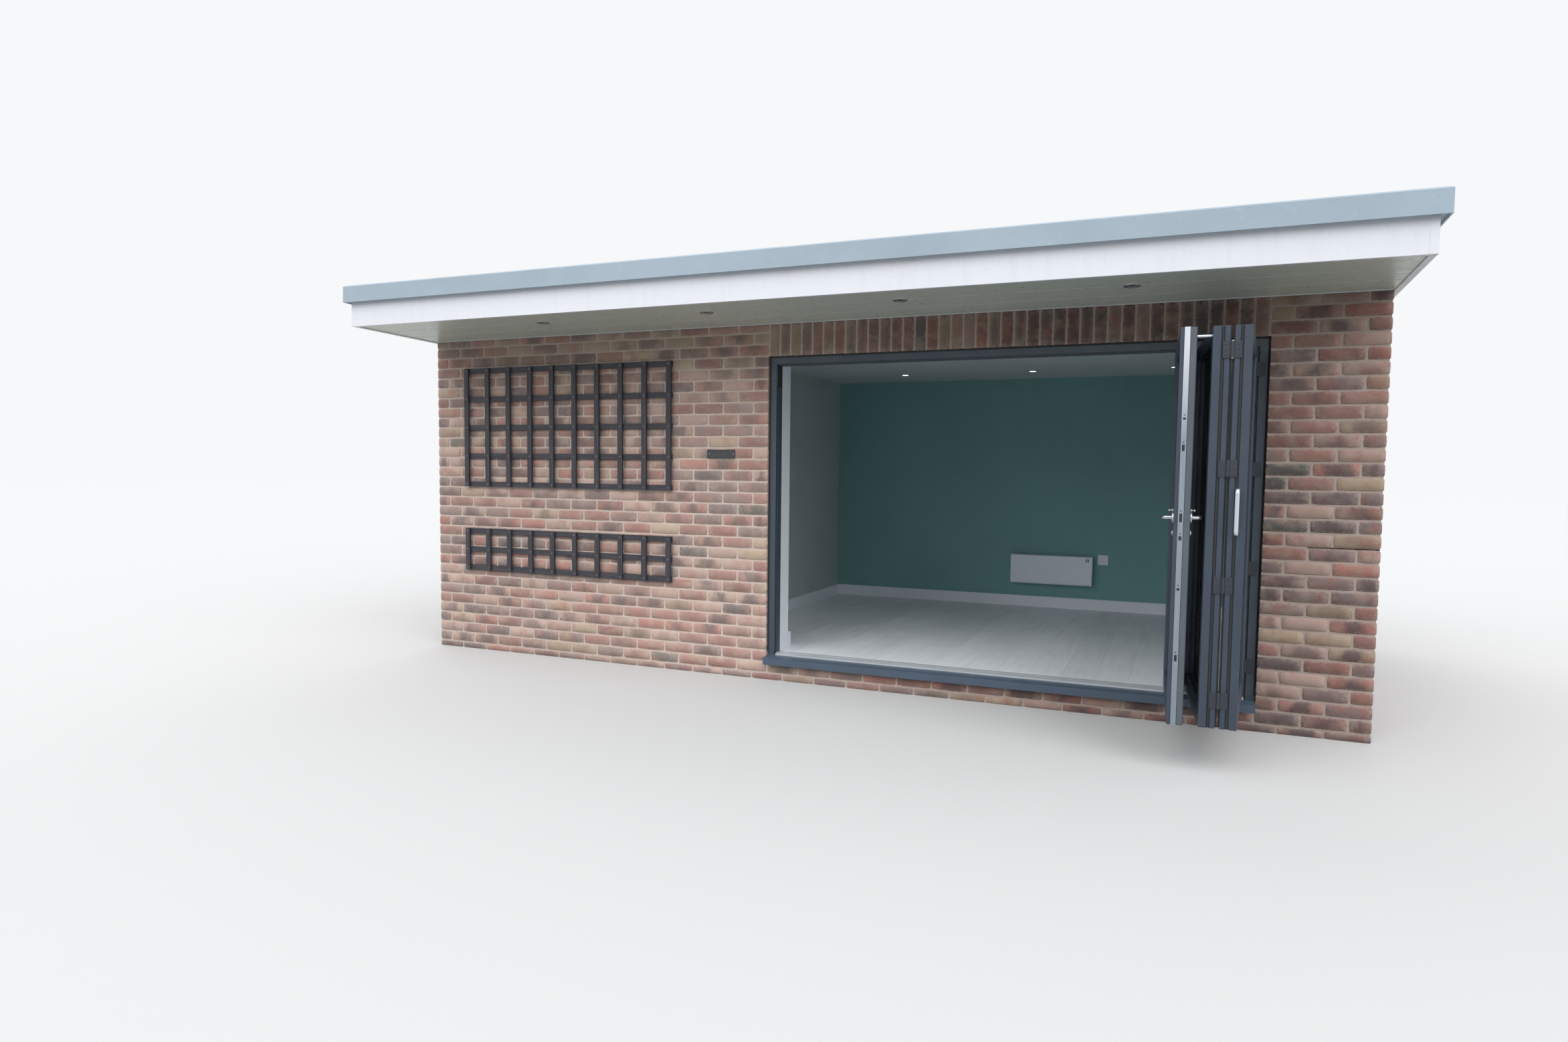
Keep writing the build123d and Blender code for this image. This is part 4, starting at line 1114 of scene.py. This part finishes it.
def lamp_lenses():
    """Lenses in the recessed lamps: lit in the room, off under the overhang."""
    room, outside = Shape(), Shape(on_roof)
    for x, y in CEILING_LAMPS:
        room.lathe((x, y, CEILING), (0, 0, -1), LENS)
    for x, y in SOFFIT_LAMPS:
        outside.lathe((x, y, 0.0), (0, 0, -1), SMALL_LENS)
    make_piece("ceiling_lenses", room, "lit_lens", smooth=True)
    make_piece("soffit_lenses", outside, "dark_lens", smooth=True)


def heater_details():
    """Outlet slots along the top, an inlet grille below and the control."""
    (x0, x1), (low, high), front = HEATER_X, HEATER_Z, HEATER_FRONT
    count, margin, half, near, far = 40, 30.0, 4.5, 22.0, 52.0
    slots = Shape()
    for i in range(count):
        x = x0 + margin + i * (x1 - x0 - 2 * margin) / (count - 1)
        for z in (high - 1.0, low - 0.4):
            slots.box(x - half, x + half, front + near, front + far, z, z + 1.4)
    x, z, proud = x1 - 41.0, high - 34.0, 1.6
    slots.box(x - 13.0, x + 13.0, front - proud, front + 2.0, z - 12.0, z + 12.0)
    make_piece("heater_slots", slots, "rubber")
    trim = Shape()
    for end in (x0 + 2.0, x1 - 14.0):
        trim.box(end, end + 12.0, front - 1.0, front + 60.0, low + 6.0, high - 6.0)
    trim.lathe((x, front - proud, z), (0, -1, 0), HEATER_KNOB, 20)
    make_piece("heater_trim", trim, "heater", edge=1.0)


def socket_details():
    """Rocker, fuse cover and two screws on the wall plate by the heater."""
    x, front, z = SOCKET
    shape = Shape()
    for left, right, low, high, proud in ((14.0, 38.0, 30.0, 56.0, 3.0), (46.0, 74.0, 32.0, 54.0, 1.8)):
        shape.box(x + left, x + right, front - proud, front + 1.0, z + low, z + high)
    make_piece("socket_parts", shape, "plastic", edge=1.0)
    screws = Shape()
    for dx in (12.0, 74.0):
        screws.lathe((x + dx, front, z + 43.0), (0, -1, 0), SOCKET_SCREW, 10)
    make_piece("socket_screws", screws, "steel", smooth=True)


def make_camera():
    """The camera where the photograph was taken, fitted to the brick joints and corners."""
    turn, drop, roll = (radians(angle) for angle in (TURN, DROP, ROLL))
    forward = Vector((-sin(turn) * cos(drop), cos(turn) * cos(drop), -sin(drop)))
    level = Vector((cos(turn), sin(turn), 0.0))
    upright = level.cross(forward)
    right = level * cos(roll) + upright * sin(roll)
    up = upright * cos(roll) - level * sin(roll)
    data = bpy.data.cameras.new("camera")
    wide, high = PICTURE
    data.sensor_width = 36.0
    data.lens = FOCAL / wide * data.sensor_width
    data.shift_y = (MIDDLE_ROW - high / 2) / wide
    data.clip_start, data.clip_end = 0.05, 200.0
    camera = add_object("camera", data)
    rotation = Matrix((right, up, -forward)).transposed()
    place = Vector(EYE) * MM + Vector(CORNER)
    camera.matrix_world = Matrix.Translation(place) @ rotation.to_4x4()
    bpy.context.scene.camera = camera


def split_light(owner, kind, lit, seen, output):
    """Give a floor or sky one colour as the camera sees it and another for light that bounces."""
    owner.use_nodes = True
    tree = owner.node_tree
    tree.nodes.clear()
    path = tree.nodes.new("ShaderNodeLightPath")
    share = path.outputs["Is Camera Ray"]
    for ray in ("Is Glossy Ray", "Is Transmission Ray"):
        either = tree.nodes.new("ShaderNodeMath")
        either.operation = "MAXIMUM"
        tree.links.new(share, either.inputs[0])
        tree.links.new(path.outputs[ray], either.inputs[1])
        share = either.outputs[0]
    mix = tree.nodes.new("ShaderNodeMixShader")
    tree.links.new(share, mix.inputs[0])
    shaders = [tree.nodes.new(kind), tree.nodes.new(kind)]
    for i, color in enumerate((lit, seen)):
        shaders[i].inputs["Color"].default_value = (*color, 1)
        tree.links.new(shaders[i].outputs[0], mix.inputs[i + 1])
    tree.links.new(mix.outputs[0], tree.nodes.new(output).inputs[0])
    return shaders[0]


def make_floor():
    """A plain pale floor that throws little light back up."""
    mesh = bpy.data.meshes.new("studio_floor")
    half = 60.0
    corners = [(-half, -half, 0), (half, -half, 0), (half, half, 0), (-half, half, 0)]
    mesh.from_pydata(corners, [], [(0, 1, 2, 3)])
    floor = add_object("studio_floor", mesh)
    material = bpy.data.materials.new("studio_floor")
    split_light(material, "ShaderNodeBsdfDiffuse", FLOOR_LIT, FLOOR_SEEN, "ShaderNodeOutputMaterial")
    mesh.materials.append(material)


def make_sky():
    """Soft sky light, weaker towards the horizon."""
    world = bpy.data.worlds.new("sky")
    bpy.context.scene.world = world
    sky = split_light(world, "ShaderNodeBackground", SKY_LIT, SKY_SEEN, "ShaderNodeOutputWorld")
    tree = world.node_tree
    place = tree.nodes.new("ShaderNodeTexCoord")
    height = tree.nodes.new("ShaderNodeSeparateXYZ")
    tree.links.new(place.outputs["Generated"], height.inputs[0])
    climb = tree.nodes.new("ShaderNodeMapRange")
    tree.links.new(height.outputs["Z"], climb.inputs["Value"])
    for socket, value in (("From Min", 0.06), ("From Max", 0.24), ("To Min", 0.34), ("To Max", 0.76)):
        climb.inputs[socket].default_value = value
    tree.links.new(climb.outputs[0], sky.inputs["Strength"])


def make_lamps():
    """Three soft lamps in front and one behind."""
    for name, (strength, spread, azimuth, rise) in STUDIO_LAMPS.items():
        data = bpy.data.lights.new(name, "SUN")
        data.energy = strength
        data.angle = radians(spread)
        lamp = add_object(name, data)
        a, e = radians(azimuth), radians(rise)
        source = Vector((sin(a) * cos(e), -cos(a) * cos(e), sin(e)))
        lamp.rotation_euler = source.to_track_quat("Z", "Y").to_euler()


PARTS = (
    front_brickwork, other_brickwork, open_joint_painted_shade, floor_planks, soffit_boards, fascia_corners,
    frame_sealant, dark_jamb_block, running_track, leaf_glazing, hinge_screws, leaf_seals, handle_details,
    trellis_nails, plate_screws, lamp_lenses, heater_details, socket_details,
)


def main():
    """Set the studio up, then dress the carried-over nodes and add what is made here."""
    bpy.context.scene.view_settings.view_transform = "Standard"
    make_camera()
    make_sky()
    make_lamps()
    make_floor()
    dress_nodes()
    for add in PARTS:
        add()


main()
